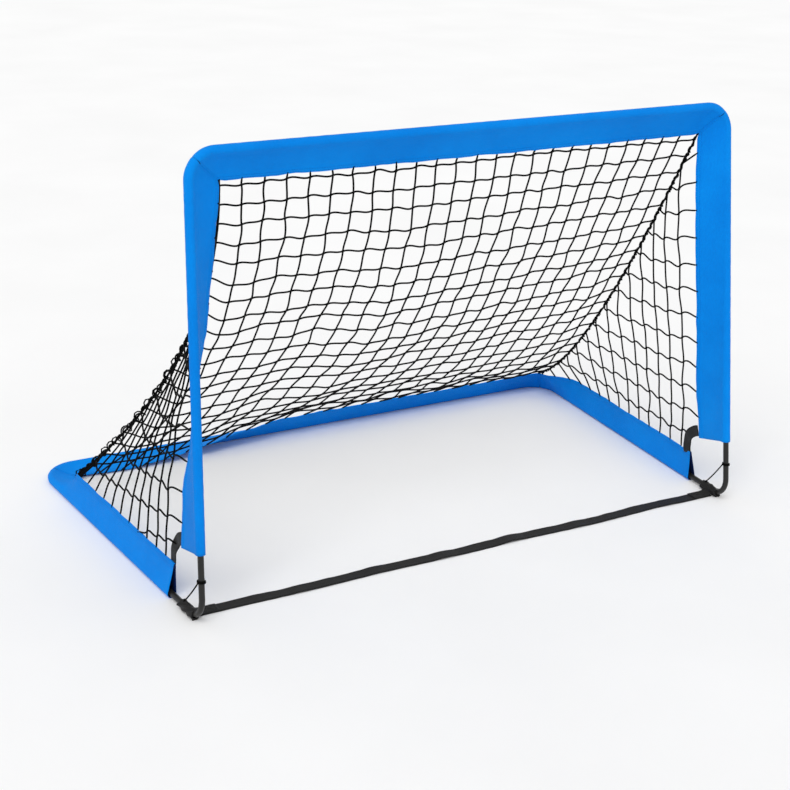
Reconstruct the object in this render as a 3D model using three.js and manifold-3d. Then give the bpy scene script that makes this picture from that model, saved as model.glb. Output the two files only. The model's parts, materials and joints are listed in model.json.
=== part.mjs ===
// A pop up goal: one loop of sprung rod, folded into an upright front and a base that lies on
// the ground. Fabric sleeves hold the rod and carry the net. Millimetres, +Z up, +X to the
// right, and the goal mouth faces -Y. The origin is on the ground, under the middle of the goal.

import * as THREE from 'three';
import { mergeVertices } from 'three/addons/utils/BufferGeometryUtils.js';
import Module from 'manifold-3d';

const wasm = await Module();
wasm.setup();

// The loop, measured between rod centrelines at its sharp corners.
const FRONT_WIDTH = 1200;
const TOP_WIDTH = 1146;
const REAR_WIDTH = 1300;
const FRONT_HEIGHT = 823;
const DEPTH = 763;
const LEAN = 96; // how far the crossbar stands behind the front corners
const FRONT_BEND_RADIUS = 40;
const TOP_BEND_RADIUS = 50;
const REAR_BEND_RADIUS = 62;

// Rod, ferrules and the round pocket that holds them.
const ROD_RADIUS = 5.75;
const FERRULE_BORE = 6.05;
const FERRULE_RADIUS = 7.3;
const FERRULE_LENGTH = 70;
const POCKET_BORE = 7.6;
const POCKET_RADIUS = 9;
const ROD_GAP = 0.6; // between two rod ends inside one ferrule
const ROD_Z = POCKET_RADIUS; // the base pockets rest on the ground
const FRONT_Y = -385.5; // puts the middle of the depth at the origin

// Where the ferrules sit, from the sharp corner along the rod.
const TOP_FERRULE = 95;
const FRONT_FERRULE_UP = 205;
const FRONT_FERRULE_BACK = 200;
const REAR_FERRULE = 120;

// Flaps: the flat part of each sleeve, measured from the rod's centre to its edge.
const FLAP_THICKNESS = 2;
const FLAP_REACH = 62;
const SIDE_FLAP_REACH = 60;
const UPRIGHT_FOOT_REACH = 84;
const CROSSBAR_FLAP_TILT = 20; // degrees, back from straight down
const REAR_FLAP_TILT = 43; // degrees, up from straight forward
const SIDE_FLAP_TILT = 83; // degrees, up from straight inward
const UPRIGHT_FLAP_FOOT = 91; // degrees, back from straight inward
const WIDEN_START = 0.45;
const WIDEN_END = 0.85;
const UPRIGHT_SLEEVE_FOOT = 127; // above the base rods
const UPRIGHT_FLAP_CORNER = 114;
const SIDE_SLEEVE_START = 125; // behind the front corners
const REAR_FLAP_LEFT_TILT = -4; // at the left end, where the rear flap lies down
const REAR_TWIST_START = 50; // left of the middle
const REAR_TWIST_END = 500;
const REAR_CORNER_BLEND = 190;
const MITRE_GAP = 0.4;
const ARC_CLEAR = 4; // from a sleeve's last straight station to the bend
const BORE_OVERRUN = 3; // carries a bore clear through its ends

// The net is a thin panel here, with an edge cord between its back and its sides.
const NET_THICKNESS = 1.2;
const NET_GAP = 4;
const EDGE_CORD_RADIUS = 2.5;

// Webbing, ground strap and corner cords.
const STRAP_WIDTH = 28;
const STRAP_THICKNESS = 1.6;
const STRAP_BACK = 52; // the strap's middle, behind the front corners
const LOOP_RADIUS = 8.4;
const LOOP_BORE = 6.1;
const LOOP_START = 30;
const LOOP_END = 80;
const WEBBING_WIDTH = 24;
const WEBBING_THICKNESS = 1.6;
const WEBBING_BULGE = 14;
const CORNER_CORD_RADIUS = 1.5;
const CORNER_CORD_FOOT = 72; // behind the front corner
const CORNER_CORD_HEAD = 76; // above the base rods

const ROUND = 12; // sides of a round section
const ARC_STEPS = 5; // steps in half a corner
const BEND_STEP = 11; // a bent rod's step along its length

const LEFT = -1;
const RIGHT = 1;
const SIDES = [LEFT, RIGHT];
const SIDE_NAME = { [LEFT]: 'left', [RIGHT]: 'right' };

// How far in the top flaps' inner corner is from the rod's sharp corner, and the upright flap's
// turn there, in degrees back from straight inward.
const TOP_CORNER_IN = { [LEFT]: 64, [RIGHT]: 50 };
const UPRIGHT_FLAP_TOP = { [LEFT]: 18, [RIGHT]: 28 };

// Where an upright's flap starts and stops turning, as parts of the way down.
const UPRIGHT_TWIST = { [LEFT]: [0, 0.85], [RIGHT]: [0.1, 0.95] };

// The rear flaps' inner corner, in, forward and up from the rod's sharp corner. The right one
// stands up, and the left one lies on the ground, so the net's left edge cord hangs lower.
const REAR_CORNER = { [LEFT]: [58, 54, -4], [RIGHT]: [50, 52, 46] };
const EDGE_CORD_PULL = { [LEFT]: [400, 360, 355], [RIGHT]: [565, 485, 142] }; // Bezier control

const paint = (color, roughness, metalness = 0) =>
  new THREE.MeshStandardMaterial({ color, roughness, metalness });
const rodPaint = () => paint(0x2c2c2b, 0.38);
const ferruleSteel = () => paint(0xa8abae, 0.35, 0.9);
const sleeveCloth = () => paint(0x0f7dde, 0.62);
const netCord = () => paint(0x111111, 0.8);
const webbing = () => paint(0x202020, 0.78);

const vec = (x, y, z) => new THREE.Vector3(x, y, z);
const radians = THREE.MathUtils.degToRad;
const { smoothstep, lerp } = THREE.MathUtils;
const goal = new THREE.Group();

function add(name, geometry, material) {
  const mesh = new THREE.Mesh(geometry, material);
  mesh.name = name;
  goal.add(mesh);
}

// ---- The loop's corners and its round bends ----------------------------------------------

const frontCorner = (side) => vec((side * FRONT_WIDTH) / 2, FRONT_Y, ROD_Z);
const topCorner = (side) => vec((side * TOP_WIDTH) / 2, FRONT_Y + LEAN, ROD_Z + FRONT_HEIGHT);
const rearCorner = (side) => vec((side * REAR_WIDTH) / 2, FRONT_Y + DEPTH, ROD_Z);

const toward = (from, to) => to.clone().sub(from).normalize();
const along = (from, to, distance) => from.clone().addScaledVector(toward(from, to), distance);

// An arc that rounds the corner between the directions of two neighbours.
class CornerArc extends THREE.Curve {
  constructor(before, corner, after, radius) {
    super();
    const back = toward(corner, before);
    const on = toward(corner, after);
    const half = back.angleTo(on) / 2;
    this.tangentLength = radius / Math.tan(half);
    this.centre = back.clone().add(on).normalize().multiplyScalar(radius / Math.sin(half)).add(corner);
    this.start = corner.clone().addScaledVector(back, this.tangentLength);
    this.axis = on.clone().cross(back).normalize();
    this.angle = Math.PI - 2 * half;
    this.spoke = this.start.clone().sub(this.centre);
  }

  getPoint(t, target = new THREE.Vector3()) {
    const turned = this.spoke.clone().applyAxisAngle(this.axis, this.angle * t);
    return target.copy(turned).add(this.centre);
  }

  direction(t) {
    return this.axis.clone().cross(this.getPoint(t).sub(this.centre)).normalize();
  }
}

const frontBend = (side) =>
  new CornerArc(rearCorner(side), frontCorner(side), topCorner(side), FRONT_BEND_RADIUS);
const topBend = (side) =>
  new CornerArc(frontCorner(side), topCorner(side), topCorner(-side), TOP_BEND_RADIUS);
const rearBend = (side) =>
  new CornerArc(frontCorner(side), rearCorner(side), rearCorner(-side), REAR_BEND_RADIUS);

// ---- Solids ------------------------------------------------------------------------------

function straightTube(from, to, radius) {
  const length = from.distanceTo(to);
  const geometry = new THREE.CylinderGeometry(radius, radius, length, ROUND);
  return place(geometry, from, to);
}

// Turns a shape made along +Y to run between two points.
function place(geometry, from, to) {
  const turn = new THREE.Quaternion().setFromUnitVectors(vec(0, 1, 0), toward(from, to));
  const middle = from.clone().lerp(to, 0.5);
  const matrix = new THREE.Matrix4().compose(middle, turn, vec(1, 1, 1));
  return geometry.applyMatrix4(matrix);
}

function hollowTube(from, to, bore, radius) {
  const half = from.distanceTo(to) / 2;
  const profile = [
    [bore, -half],
    [radius, -half],
    [radius, half],
    [bore, half],
    [bore, -half],
  ].map(([r, y]) => new THREE.Vector2(r, y));
  return place(new THREE.LatheGeometry(profile, ROUND), from, to);
}

function tubeAlong(curve, radius, steps, sides) {
  const section = new THREE.Shape();
  for (let i = 0; i < sides; i += 1) {
    const turn = (i / sides) * 2 * Math.PI;
    const x = radius * Math.cos(turn);
    const y = radius * Math.sin(turn);
    if (i === 0) section.moveTo(x, y);
    else section.lineTo(x, y);
  }
  return new THREE.ExtrudeGeometry(section, { extrudePath: curve, steps });
}

// Joins equal rings into one closed body. Each end is a fan about that ring's own middle, and
// each four-sided stretch is split by its shorter diagonal, so that a twisted flap's two faces
// are split alike and stay apart.
function loft(rings, middles) {
  const count = rings[0].length;
  const last = rings.length - 1;
  const points = [...rings.flat(), middles[0], middles[last]];
  const firstMiddle = rings.length * count;
  const lastMiddle = firstMiddle + 1;
  const index = [];
  for (let i = 0; i < count; i += 1) {
    const next = (i + 1) % count;
    index.push(firstMiddle, next, i);
    index.push(lastMiddle, last * count + i, last * count + next);
    for (let ring = 0; ring < last; ring += 1) {
      const [a, b] = [ring * count + i, ring * count + next];
      const [c, d] = [b + count, a + count];
      if (points[a].distanceTo(points[c]) <= points[b].distanceTo(points[d])) {
        index.push(a, b, c, a, c, d);
      } else {
        index.push(a, b, d, b, c, d);
      }
    }
  }
  return closedBody(points, index);
}

function closedBody(points, index) {
  const geometry = new THREE.BufferGeometry().setFromPoints(points);
  geometry.setIndex(index);
  return outward(geometry);
}

// Turns every face over if the body is inside out.
function outward(geometry) {
  const at = geometry.getAttribute('position');
  const index = geometry.getIndex();
  const a = new THREE.Vector3();
  const b = new THREE.Vector3();
  const c = new THREE.Vector3();
  let volume = 0;
  for (let i = 0; i < index.count; i += 3) {
    a.fromBufferAttribute(at, index.getX(i));
    b.fromBufferAttribute(at, index.getX(i + 1));
    c.fromBufferAttribute(at, index.getX(i + 2));
    volume += a.dot(b.cross(c));
  }
  if (volume < 0) {
    for (let i = 0; i < index.count; i += 3) {
      const second = index.getX(i + 1);
      index.setX(i + 1, index.getX(i + 2));
      index.setX(i + 2, second);
    }
  }
  return geometry;
}

// Keeps only positions, so that faces which meet share their vertices.
function welded(geometry) {
  const bare = geometry.clone();
  bare.deleteAttribute('normal');
  bare.deleteAttribute('uv');
  return mergeVertices(bare, 1e-4);
}

function toSolid(geometry) {
  const merged = welded(geometry);
  return new wasm.Manifold(
    new wasm.Mesh({
      numProp: 3,
      vertProperties: new Float32Array(merged.getAttribute('position').array),
      triVerts: new Uint32Array(merged.getIndex().array),
    }),
  );
}

function cut(body, tool) {
  const mesh = toSolid(body).subtract(toSolid(tool)).getMesh();
  const geometry = new THREE.BufferGeometry();
  geometry.setAttribute('position', new THREE.BufferAttribute(mesh.vertProperties, 3));
  geometry.setIndex(new THREE.BufferAttribute(mesh.triVerts, 1));
  return geometry;
}

function mirrored(geometry) {
  return outward(welded(geometry).applyMatrix4(new THREE.Matrix4().makeScale(-1, 1, 1)));
}

// ---- Rods and ferrules -------------------------------------------------------------------

const rodEnd = (corner, neighbour, distance, gapSide) =>
  along(corner, neighbour, distance + (gapSide * ROD_GAP) / 2);

function addFerrule(name, corner, neighbour, distance) {
  const from = along(corner, neighbour, distance - FERRULE_LENGTH / 2);
  const to = along(corner, neighbour, distance + FERRULE_LENGTH / 2);
  add(name, hollowTube(from, to, FERRULE_BORE, FERRULE_RADIUS), ferruleSteel());
}

function straightRod(name, a, b, fromA, fromB) {
  add(name, straightTube(rodEnd(a, b, fromA, 1), rodEnd(b, a, fromB, 1), ROD_RADIUS), rodPaint());
}

function bentRod(name, before, corner, after, arc, beforeLength, afterLength) {
  const path = new THREE.CurvePath();
  const arcEnd = arc.getPoint(1);
  path.add(new THREE.LineCurve3(rodEnd(corner, before, beforeLength, -1), arc.start));
  path.add(arc);
  path.add(new THREE.LineCurve3(arcEnd, rodEnd(corner, after, afterLength, -1)));
  const steps = Math.round(path.getLength() / BEND_STEP);
  add(name, tubeAlong(path, ROD_RADIUS, steps, ROUND), rodPaint());
}

straightRod('crossbar_rod', topCorner(LEFT), topCorner(RIGHT), TOP_FERRULE, TOP_FERRULE);
straightRod('rear_rod', rearCorner(LEFT), rearCorner(RIGHT), REAR_FERRULE, REAR_FERRULE);

for (const side of SIDES) {
  const name = SIDE_NAME[side];
  const [front, top, rear] = [frontCorner(side), topCorner(side), rearCorner(side)];
  const [topAcross, rearAcross] = [topCorner(-side), rearCorner(-side)];
  straightRod(`${name}_upright_rod`, front, top, FRONT_FERRULE_UP, TOP_FERRULE);
  straightRod(`${name}_side_rod`, front, rear, FRONT_FERRULE_BACK, REAR_FERRULE);
  bentRod(`${name}_front_bend`, rear, front, top, frontBend(side), FRONT_FERRULE_BACK, FRONT_FERRULE_UP);
  bentRod(`${name}_top_bend`, front, top, topAcross, topBend(side), TOP_FERRULE, TOP_FERRULE);
  bentRod(`${name}_rear_bend`, front, rear, rearAcross, rearBend(side), REAR_FERRULE, REAR_FERRULE);
  addFerrule(`${name}_upright_lower_ferrule`, front, top, FRONT_FERRULE_UP);
  addFerrule(`${name}_upright_upper_ferrule`, top, front, TOP_FERRULE);
  addFerrule(`${name}_crossbar_ferrule`, top, topAcross, TOP_FERRULE);
  addFerrule(`${name}_side_front_ferrule`, front, rear, FRONT_FERRULE_BACK);
  addFerrule(`${name}_side_rear_ferrule`, rear, front, REAR_FERRULE);
  addFerrule(`${name}_rear_ferrule`, rear, rearAcross, REAR_FERRULE);
}

// ---- Sleeves -----------------------------------------------------------------------------

// A station of a sleeve: the rod's centre, the point on the flap's edge, and the way along.
const station = (centre, edge, tangent) => ({ centre, edge, tangent });

const topInnerCorner = (side) => {
  const tilt = radians(CROSSBAR_FLAP_TILT);
  const drop = vec(-side * TOP_CORNER_IN[side], FLAP_REACH * Math.sin(tilt), -FLAP_REACH * Math.cos(tilt));
  return topCorner(side).add(drop);
};

function rearInnerCorner(side) {
  const [inward, forward, up] = REAR_CORNER[side];
  return rearCorner(side).add(vec(-side * inward, -forward, up));
}

// Turns the flap from one reach to another about its rod, so that its width is kept.
function turnedReach(from, to, part) {
  const direction = from.clone().normalize().lerp(to.clone().normalize(), part).normalize();
  return direction.multiplyScalar(lerp(from.length(), to.length(), part));
}

// The section of a sleeve: a round pocket with a thin flap that runs out to its edge.
function sleeveRing({ centre, edge, tangent }) {
  const reach = edge.clone().sub(centre);
  const across = tangent.clone().cross(reach).normalize();
  const out = across.clone().cross(tangent).normalize();
  const rootAngle = Math.asin(FLAP_THICKNESS / 2 / POCKET_RADIUS);
  const ring = [];
  for (let i = 0; i <= ROUND; i += 1) {
    const turn = rootAngle + (i / ROUND) * (2 * Math.PI - 2 * rootAngle);
    ring.push(
      centre
        .clone()
        .addScaledVector(out, POCKET_RADIUS * Math.cos(turn))
        .addScaledVector(across, POCKET_RADIUS * Math.sin(turn)),
    );
  }
  ring.push(edge.clone().addScaledVector(across, -FLAP_THICKNESS / 2));
  ring.push(edge.clone().addScaledVector(across, FLAP_THICKNESS / 2));
  return ring;
}

function boreRing(centre, tangent, beside) {
  const across = tangent.clone().cross(beside).normalize();
  const out = across.clone().cross(tangent).normalize();
  const ring = [];
  for (let i = 0; i < ROUND; i += 1) {
    const turn = ((i + 0.5) / ROUND) * 2 * Math.PI;
    ring.push(
      centre
        .clone()
        .addScaledVector(out, POCKET_BORE * Math.cos(turn))
        .addScaledVector(across, POCKET_BORE * Math.sin(turn)),
    );
  }
  return ring;
}

// The bore doesn't twist with the flap: its sections are turned from one direction beside it.
function sleeve(stations, beside) {
  const last = stations.length - 1;
  const centres = stations.map(({ centre }) => centre.clone());
  const skin = loft(stations.map(sleeveRing), centres);
  centres[0].addScaledVector(stations[0].tangent, -BORE_OVERRUN);
  centres[last].addScaledVector(stations[last].tangent, BORE_OVERRUN);
  const boreRings = stations.map(({ tangent }, i) => boreRing(centres[i], tangent, beside));
  return cut(skin, loft(boreRings, centres));
}

const turnedBack = (stations) =>
  stations.reverse().map(({ centre, edge, tangent }) => station(centre, edge, tangent.negate()));

// Stations round half a bend to its mitre, all reaching for the inner corner.
function mitreStations(arc, innerCorner, fromStart) {
  const way = fromStart ? 1 : -1;
  const mitre = arc.direction(0.5).multiplyScalar(way);
  const stations = [];
  for (let i = 0; i <= ARC_STEPS; i += 1) {
    const part = (i / ARC_STEPS) * 0.5;
    const t = fromStart ? part : 1 - part;
    const clear = i < ARC_STEPS ? FLAP_THICKNESS / 2 : MITRE_GAP / 2;
    const edge = innerCorner.clone().addScaledVector(mitre, -clear);
    stations.push(station(arc.getPoint(t), edge, arc.direction(t).multiplyScalar(way)));
  }
  stations[ARC_STEPS].centre.addScaledVector(mitre, -MITRE_GAP / 2);
  return stations;
}

function crossbarStations() {
  const half = TOP_WIDTH / 2 - Math.max(...SIDES.map((side) => TOP_CORNER_IN[side])) - 1;
  const drop = topInnerCorner(RIGHT).sub(topCorner(RIGHT)).setX(0);
  const stations = [];
  for (const x of [-half, 0, half]) {
    const centre = topCorner(RIGHT).setX(x);
    stations.push(station(centre, centre.clone().add(drop), vec(1, 0, 0)));
  }
  const right = mitreStations(topBend(RIGHT), topInnerCorner(RIGHT), false);
  const left = mitreStations(topBend(LEFT), topInnerCorner(LEFT), false);
  return [...turnedBack(left), ...stations, ...right];
}

function uprightEdge(part, side) {
  const up = toward(frontCorner(side), topCorner(side));
  const inward = vec(-side, 0, 0).projectOnPlane(up).normalize();
  const back = vec(0, 1, 0).projectOnPlane(up).normalize();
  const twist = smoothstep(part, ...UPRIGHT_TWIST[side]);
  const angle = radians(lerp(UPRIGHT_FLAP_TOP[side], UPRIGHT_FLAP_FOOT, twist));
  const widen = smoothstep(part, WIDEN_START, WIDEN_END);
  const reach = lerp(FLAP_REACH, UPRIGHT_FOOT_REACH, widen);
  return inward.multiplyScalar(Math.cos(angle)).addScaledVector(back, Math.sin(angle)).multiplyScalar(reach);
}

// From the mitre at the top down to the open foot of the sleeve.
function uprightStations(side) {
  const [top, front] = [topCorner(side), frontCorner(side)];
  const footPart = 1 - UPRIGHT_SLEEVE_FOOT / FRONT_HEIGHT;
  const topPart = (FLAP_REACH + 2) / FRONT_HEIGHT;
  const steps = 16;
  const stations = turnedBack(mitreStations(topBend(side), topInnerCorner(side), true));
  const down = toward(top, front);
  for (let i = 0; i <= steps; i += 1) {
    const part = lerp(topPart, footPart, i / steps);
    const centre = top.clone().lerp(front, part);
    stations.push(station(centre, centre.clone().add(uprightEdge(part, side)), down));
  }
  stations[stations.length - 1].edge.z += UPRIGHT_FLAP_CORNER - UPRIGHT_SLEEVE_FOOT;
  return stations;
}

// From the open front end back to the mitre at the rear corner.
function sideStations(side) {
  const [front, rear] = [frontCorner(side), rearCorner(side)];
  const length = front.distanceTo(rear);
  const tilt = radians(SIDE_FLAP_TILT);
  const stand = vec(-side * SIDE_FLAP_REACH * Math.cos(tilt), 0, SIDE_FLAP_REACH * Math.sin(tilt));
  const corner = rearInnerCorner(side);
  const forward = REAR_CORNER[side][1];
  const last = corner.clone().sub(along(front, rear, length - forward));
  const back = toward(front, rear);
  const arc = rearBend(side);
  const steps = 18;
  const stations = [];
  for (let i = 0; i <= steps; i += 1) {
    const distance = lerp(SIDE_SLEEVE_START, length - arc.tangentLength - ARC_CLEAR, i / steps);
    const centre = along(front, rear, distance);
    const blend = smoothstep(distance, length - REAR_CORNER_BLEND, length - forward);
    stations.push(station(centre, centre.clone().add(turnedReach(stand, last, blend)), back));
  }
  return [...stations, ...mitreStations(arc, corner, true)];
}

// The rear flap's reach from the rod: it lies down toward the left and stands up to the right.
function rearReach(x) {
  const side = Math.sign(x) || RIGHT;
  const twist = smoothstep(-x, REAR_TWIST_START, REAR_TWIST_END);
  const tilt = radians(lerp(REAR_FLAP_TILT, REAR_FLAP_LEFT_TILT, twist));
  const stand = vec(0, -FLAP_REACH * Math.cos(tilt), FLAP_REACH * Math.sin(tilt));
  const last = rearInnerCorner(side).sub(rearCorner(side)).setX(0);
  const blendEnd = REAR_WIDTH / 2 - REAR_CORNER[side][0];
  const blend = smoothstep(Math.abs(x), REAR_WIDTH / 2 - REAR_CORNER_BLEND, blendEnd);
  return turnedReach(stand, last, blend);
}

function rearStations() {
  const half = REAR_WIDTH / 2 - rearBend(RIGHT).tangentLength - ARC_CLEAR;
  const steps = 16;
  const stations = [];
  for (let i = 0; i <= steps; i += 1) {
    const centre = rearCorner(RIGHT).setX(lerp(-half, half, i / steps));
    stations.push(station(centre, centre.clone().add(rearReach(centre.x)), vec(1, 0, 0)));
  }
  const right = mitreStations(rearBend(RIGHT), rearInnerCorner(RIGHT), false);
  const left = mitreStations(rearBend(LEFT), rearInnerCorner(LEFT), false);
  return [...turnedBack(left), ...stations, ...right];
}

const BACKWARD = vec(0, 1, 0);
const UPWARD = vec(0, 0, 1);

add('crossbar_sleeve', sleeve(crossbarStations(), BACKWARD), sleeveCloth());
add('rear_sleeve', sleeve(rearStations(), UPWARD), sleeveCloth());

function addPair(name, geometry, material) {
  add(`right_${name}`, geometry, material());
  add(`left_${name}`, mirrored(geometry), material());
}

for (const side of SIDES) {
  add(`${SIDE_NAME[side]}_upright_sleeve`, sleeve(uprightStations(side), BACKWARD), sleeveCloth());
  add(`${SIDE_NAME[side]}_side_sleeve`, sleeve(sideStations(side), UPWARD), sleeveCloth());
}

// ---- Corner webbing: a curved band from the upright's flap to the side's flap ------------

const flapCorner = uprightStations(RIGHT).pop().edge;
const sideFlapCorner = sideStations(RIGHT)[0].edge;

// The band lies in a plane: its chord runs down, and it bulges back, away from the bare rod.
function webbingLine(offset) {
  const chord = toward(flapCorner, sideFlapCorner);
  const back = vec(0, 1, 0).projectOnPlane(chord).normalize();
  const start = flapCorner.clone().addScaledVector(back, offset);
  const end = sideFlapCorner.clone().addScaledVector(back, offset);
  const pull = start.clone().lerp(end, 0.5).addScaledVector(back, 2 * WEBBING_BULGE);
  return new THREE.QuadraticBezierCurve3(start, pull, end);
}

const WEBBING_CLEAR = 1.2; // keeps the band off both flaps
const webbingInner = webbingLine(WEBBING_CLEAR);
const webbingOuter = webbingLine(WEBBING_CLEAR + WEBBING_WIDTH);

// A thin closed panel through a grid of points.
function panel(grid, thickness) {
  const rows = grid.length;
  const columns = grid[0].length;
  const faces = [];
  const points = [];
  for (const lift of [-0.5, 0.5]) {
    for (let i = 0; i < rows; i += 1) {
      for (let j = 0; j < columns; j += 1) {
        const down = grid[Math.min(i + 1, rows - 1)][j].clone().sub(grid[Math.max(i - 1, 0)][j]);
        const right = grid[i][Math.min(j + 1, columns - 1)].clone().sub(grid[i][Math.max(j - 1, 0)]);
        const normal = down.cross(right).normalize();
        points.push(grid[i][j].clone().addScaledVector(normal, lift * thickness));
      }
    }
  }
  const at = (layer, i, j) => layer * rows * columns + i * columns + j;
  const quad = (a, b, c, d) => faces.push(a, b, c, a, c, d);
  for (let i = 0; i < rows - 1; i += 1) {
    for (let j = 0; j < columns - 1; j += 1) {
      quad(at(0, i, j), at(0, i, j + 1), at(0, i + 1, j + 1), at(0, i + 1, j));
      quad(at(1, i, j), at(1, i + 1, j), at(1, i + 1, j + 1), at(1, i, j + 1));
    }
    quad(at(0, i, 0), at(0, i + 1, 0), at(1, i + 1, 0), at(1, i, 0));
    quad(at(0, i + 1, columns - 1), at(0, i, columns - 1), at(1, i, columns - 1), at(1, i + 1, columns - 1));
  }
  for (let j = 0; j < columns - 1; j += 1) {
    quad(at(0, 0, j + 1), at(0, 0, j), at(1, 0, j), at(1, 0, j + 1));
    quad(at(0, rows - 1, j), at(0, rows - 1, j + 1), at(1, rows - 1, j + 1), at(1, rows - 1, j));
  }
  return closedBody(points, faces);
}

const WEBBING_STEPS = 8;
const webbingGrid = [];
for (let i = 0; i <= WEBBING_STEPS; i += 1) {
  const t = i / WEBBING_STEPS;
  webbingGrid.push([webbingInner.getPoint(t), webbingOuter.getPoint(t)]);
}
addPair('corner_webbing', panel(webbingGrid, WEBBING_THICKNESS), webbing);

// ---- Net: a back panel, two side panels, and the edge cords between them -----------------

// The edge cord hangs between the top and rear inner corners, pulled in and down by the net.
const CORD_END_GAP = 14; // the cord's end stops short of the flaps
const CORD_READ_START = 0.03; // the stretch of the cord that a side panel is tied to
const CORD_READ_END = 0.93;

function edgeCord(side) {
  const [x, y, z] = EDGE_CORD_PULL[side];
  const pull = vec(side * x, FRONT_Y + y, ROD_Z + z);
  const top = along(topInnerCorner(side), pull, CORD_END_GAP);
  const end = along(rearInnerCorner(side), pull, CORD_END_GAP);
  return new THREE.QuadraticBezierCurve3(top, pull, end);
}

// A side panel is sewn to the upright's flap, the webbing and the side's flap.
function sideBorder(side) {
  const across = vec(side, 1, 1);
  return [
    ...uprightStations(side).slice(ARC_STEPS + 1, -1).map(({ edge }) => edge),
    ...[0.1, 0.35, 0.6, 0.85].map((t) => webbingOuter.getPoint(t).multiply(across)),
    ...sideStations(side).slice(1, -ARC_STEPS - 1).map(({ edge }) => edge),
  ];
}

// How far each point of a polyline lies along it, from 0 to 1.
function fractions(points) {
  const lengths = [0];
  for (let i = 1; i < points.length; i += 1) {
    lengths.push(lengths[i - 1] + points[i].distanceTo(points[i - 1]));
  }
  return lengths.map((length) => length / lengths[points.length - 1]);
}

const SIDE_NET_COLUMNS = 4;

function sideNetGrid(side) {
  const border = sideBorder(side);
  const cord = edgeCord(side);
  const places = fractions(border);
  const middle = border.reduce((sum, p) => sum.add(p), vec(0, 0, 0)).divideScalar(border.length);
  return border.map((sewn, i) => {
    const t = lerp(CORD_READ_START, CORD_READ_END, places[i]);
    const tied = cord.getPoint(t);
    const clear = middle.clone().sub(tied).projectOnPlane(cord.getTangent(t)).normalize();
    const from = along(sewn, tied, NET_GAP);
    const to = tied.clone().addScaledVector(clear, EDGE_CORD_RADIUS + NET_GAP);
    return Array.from({ length: SIDE_NET_COLUMNS + 1 }, (_, j) =>
      from.clone().lerp(to, j / SIDE_NET_COLUMNS),
    );
  });
}

for (const side of SIDES) {
  const name = SIDE_NAME[side];
  add(`${name}_net_edge_cord`, tubeAlong(edgeCord(side), EDGE_CORD_RADIUS, 24, 8), netCord());
  add(`${name}_side_net`, panel(sideNetGrid(side), NET_THICKNESS), netCord());
}

const BACK_NET_ROWS = 14;
const BACK_NET_COLUMNS = 12;

// One line of the back panel, from the crossbar's flap to the rear flap.
function backNetLine(part) {
  const [left, right] = SIDES.map(edgeCord);
  const inset = EDGE_CORD_RADIUS + NET_GAP;
  const between = (from, to) => along(from, to, inset).lerp(along(to, from, inset), part);
  const pull = between(left.v1, right.v1);
  const rod = rearCorner(RIGHT).setX(between(left.v2, right.v2).x);
  const end = along(rod.clone().add(rearReach(rod.x)), pull, CORD_END_GAP);
  return new THREE.QuadraticBezierCurve3(between(left.v0, right.v0), pull, end);
}

const backNetLines = Array.from({ length: BACK_NET_COLUMNS + 1 }, (_, j) =>
  backNetLine(j / BACK_NET_COLUMNS),
);
const backNetGrid = Array.from({ length: BACK_NET_ROWS + 1 }, (_, i) =>
  backNetLines.map((line) => line.getPoint(i / BACK_NET_ROWS)),
);
add('back_net', panel(backNetGrid, NET_THICKNESS), netCord());

// ---- Ground strap, its sewn loops, and the corner cords ----------------------------------

const strapHalf = frontCorner(RIGHT).x + 2 - LOOP_RADIUS;
const strap = new THREE.BoxGeometry(2 * strapHalf, STRAP_WIDTH, STRAP_THICKNESS);
strap.translate(0, FRONT_Y + STRAP_BACK, STRAP_THICKNESS / 2);
add('ground_strap', strap, webbing());

for (const side of SIDES) {
  const name = SIDE_NAME[side];
  const [front, rearEnd, top] = [frontCorner(side), rearCorner(side), topCorner(side)];
  const loopFrom = along(front, rearEnd, LOOP_START);
  const loopTo = along(front, rearEnd, LOOP_END);
  const loopAxis = new THREE.LineCurve3(loopFrom, loopTo);
  const loopSkin = tubeAlong(loopAxis, LOOP_RADIUS, 2, ROUND);
  const bend = frontBend(side);
  const boreStations = [];
  for (let i = 0; i <= 2 * ARC_STEPS; i += 1) {
    boreStations.push(bend.getPoint(i / (2 * ARC_STEPS)));
  }
  boreStations.unshift(along(front, rearEnd, LOOP_END + 5));
  const bore = new THREE.CurvePath();
  for (let i = 1; i < boreStations.length; i += 1) {
    bore.add(new THREE.LineCurve3(boreStations[i - 1], boreStations[i]));
  }
  add(`${name}_strap_loop`, cut(loopSkin, tubeAlong(bore, LOOP_BORE, 40, ROUND)), webbing());

  const foot = along(front, rearEnd, CORNER_CORD_FOOT).add(vec(0, 0, LOOP_RADIUS + 2));
  const headPart = CORNER_CORD_HEAD / FRONT_HEIGHT;
  const head = front.clone().lerp(top, headPart).add(vec(0, ROD_RADIUS + 2, 0));
  add(`${name}_corner_cord`, straightTube(foot, head, CORNER_CORD_RADIUS), netCord());
}

export default goal;
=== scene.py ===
import json
import math

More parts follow.
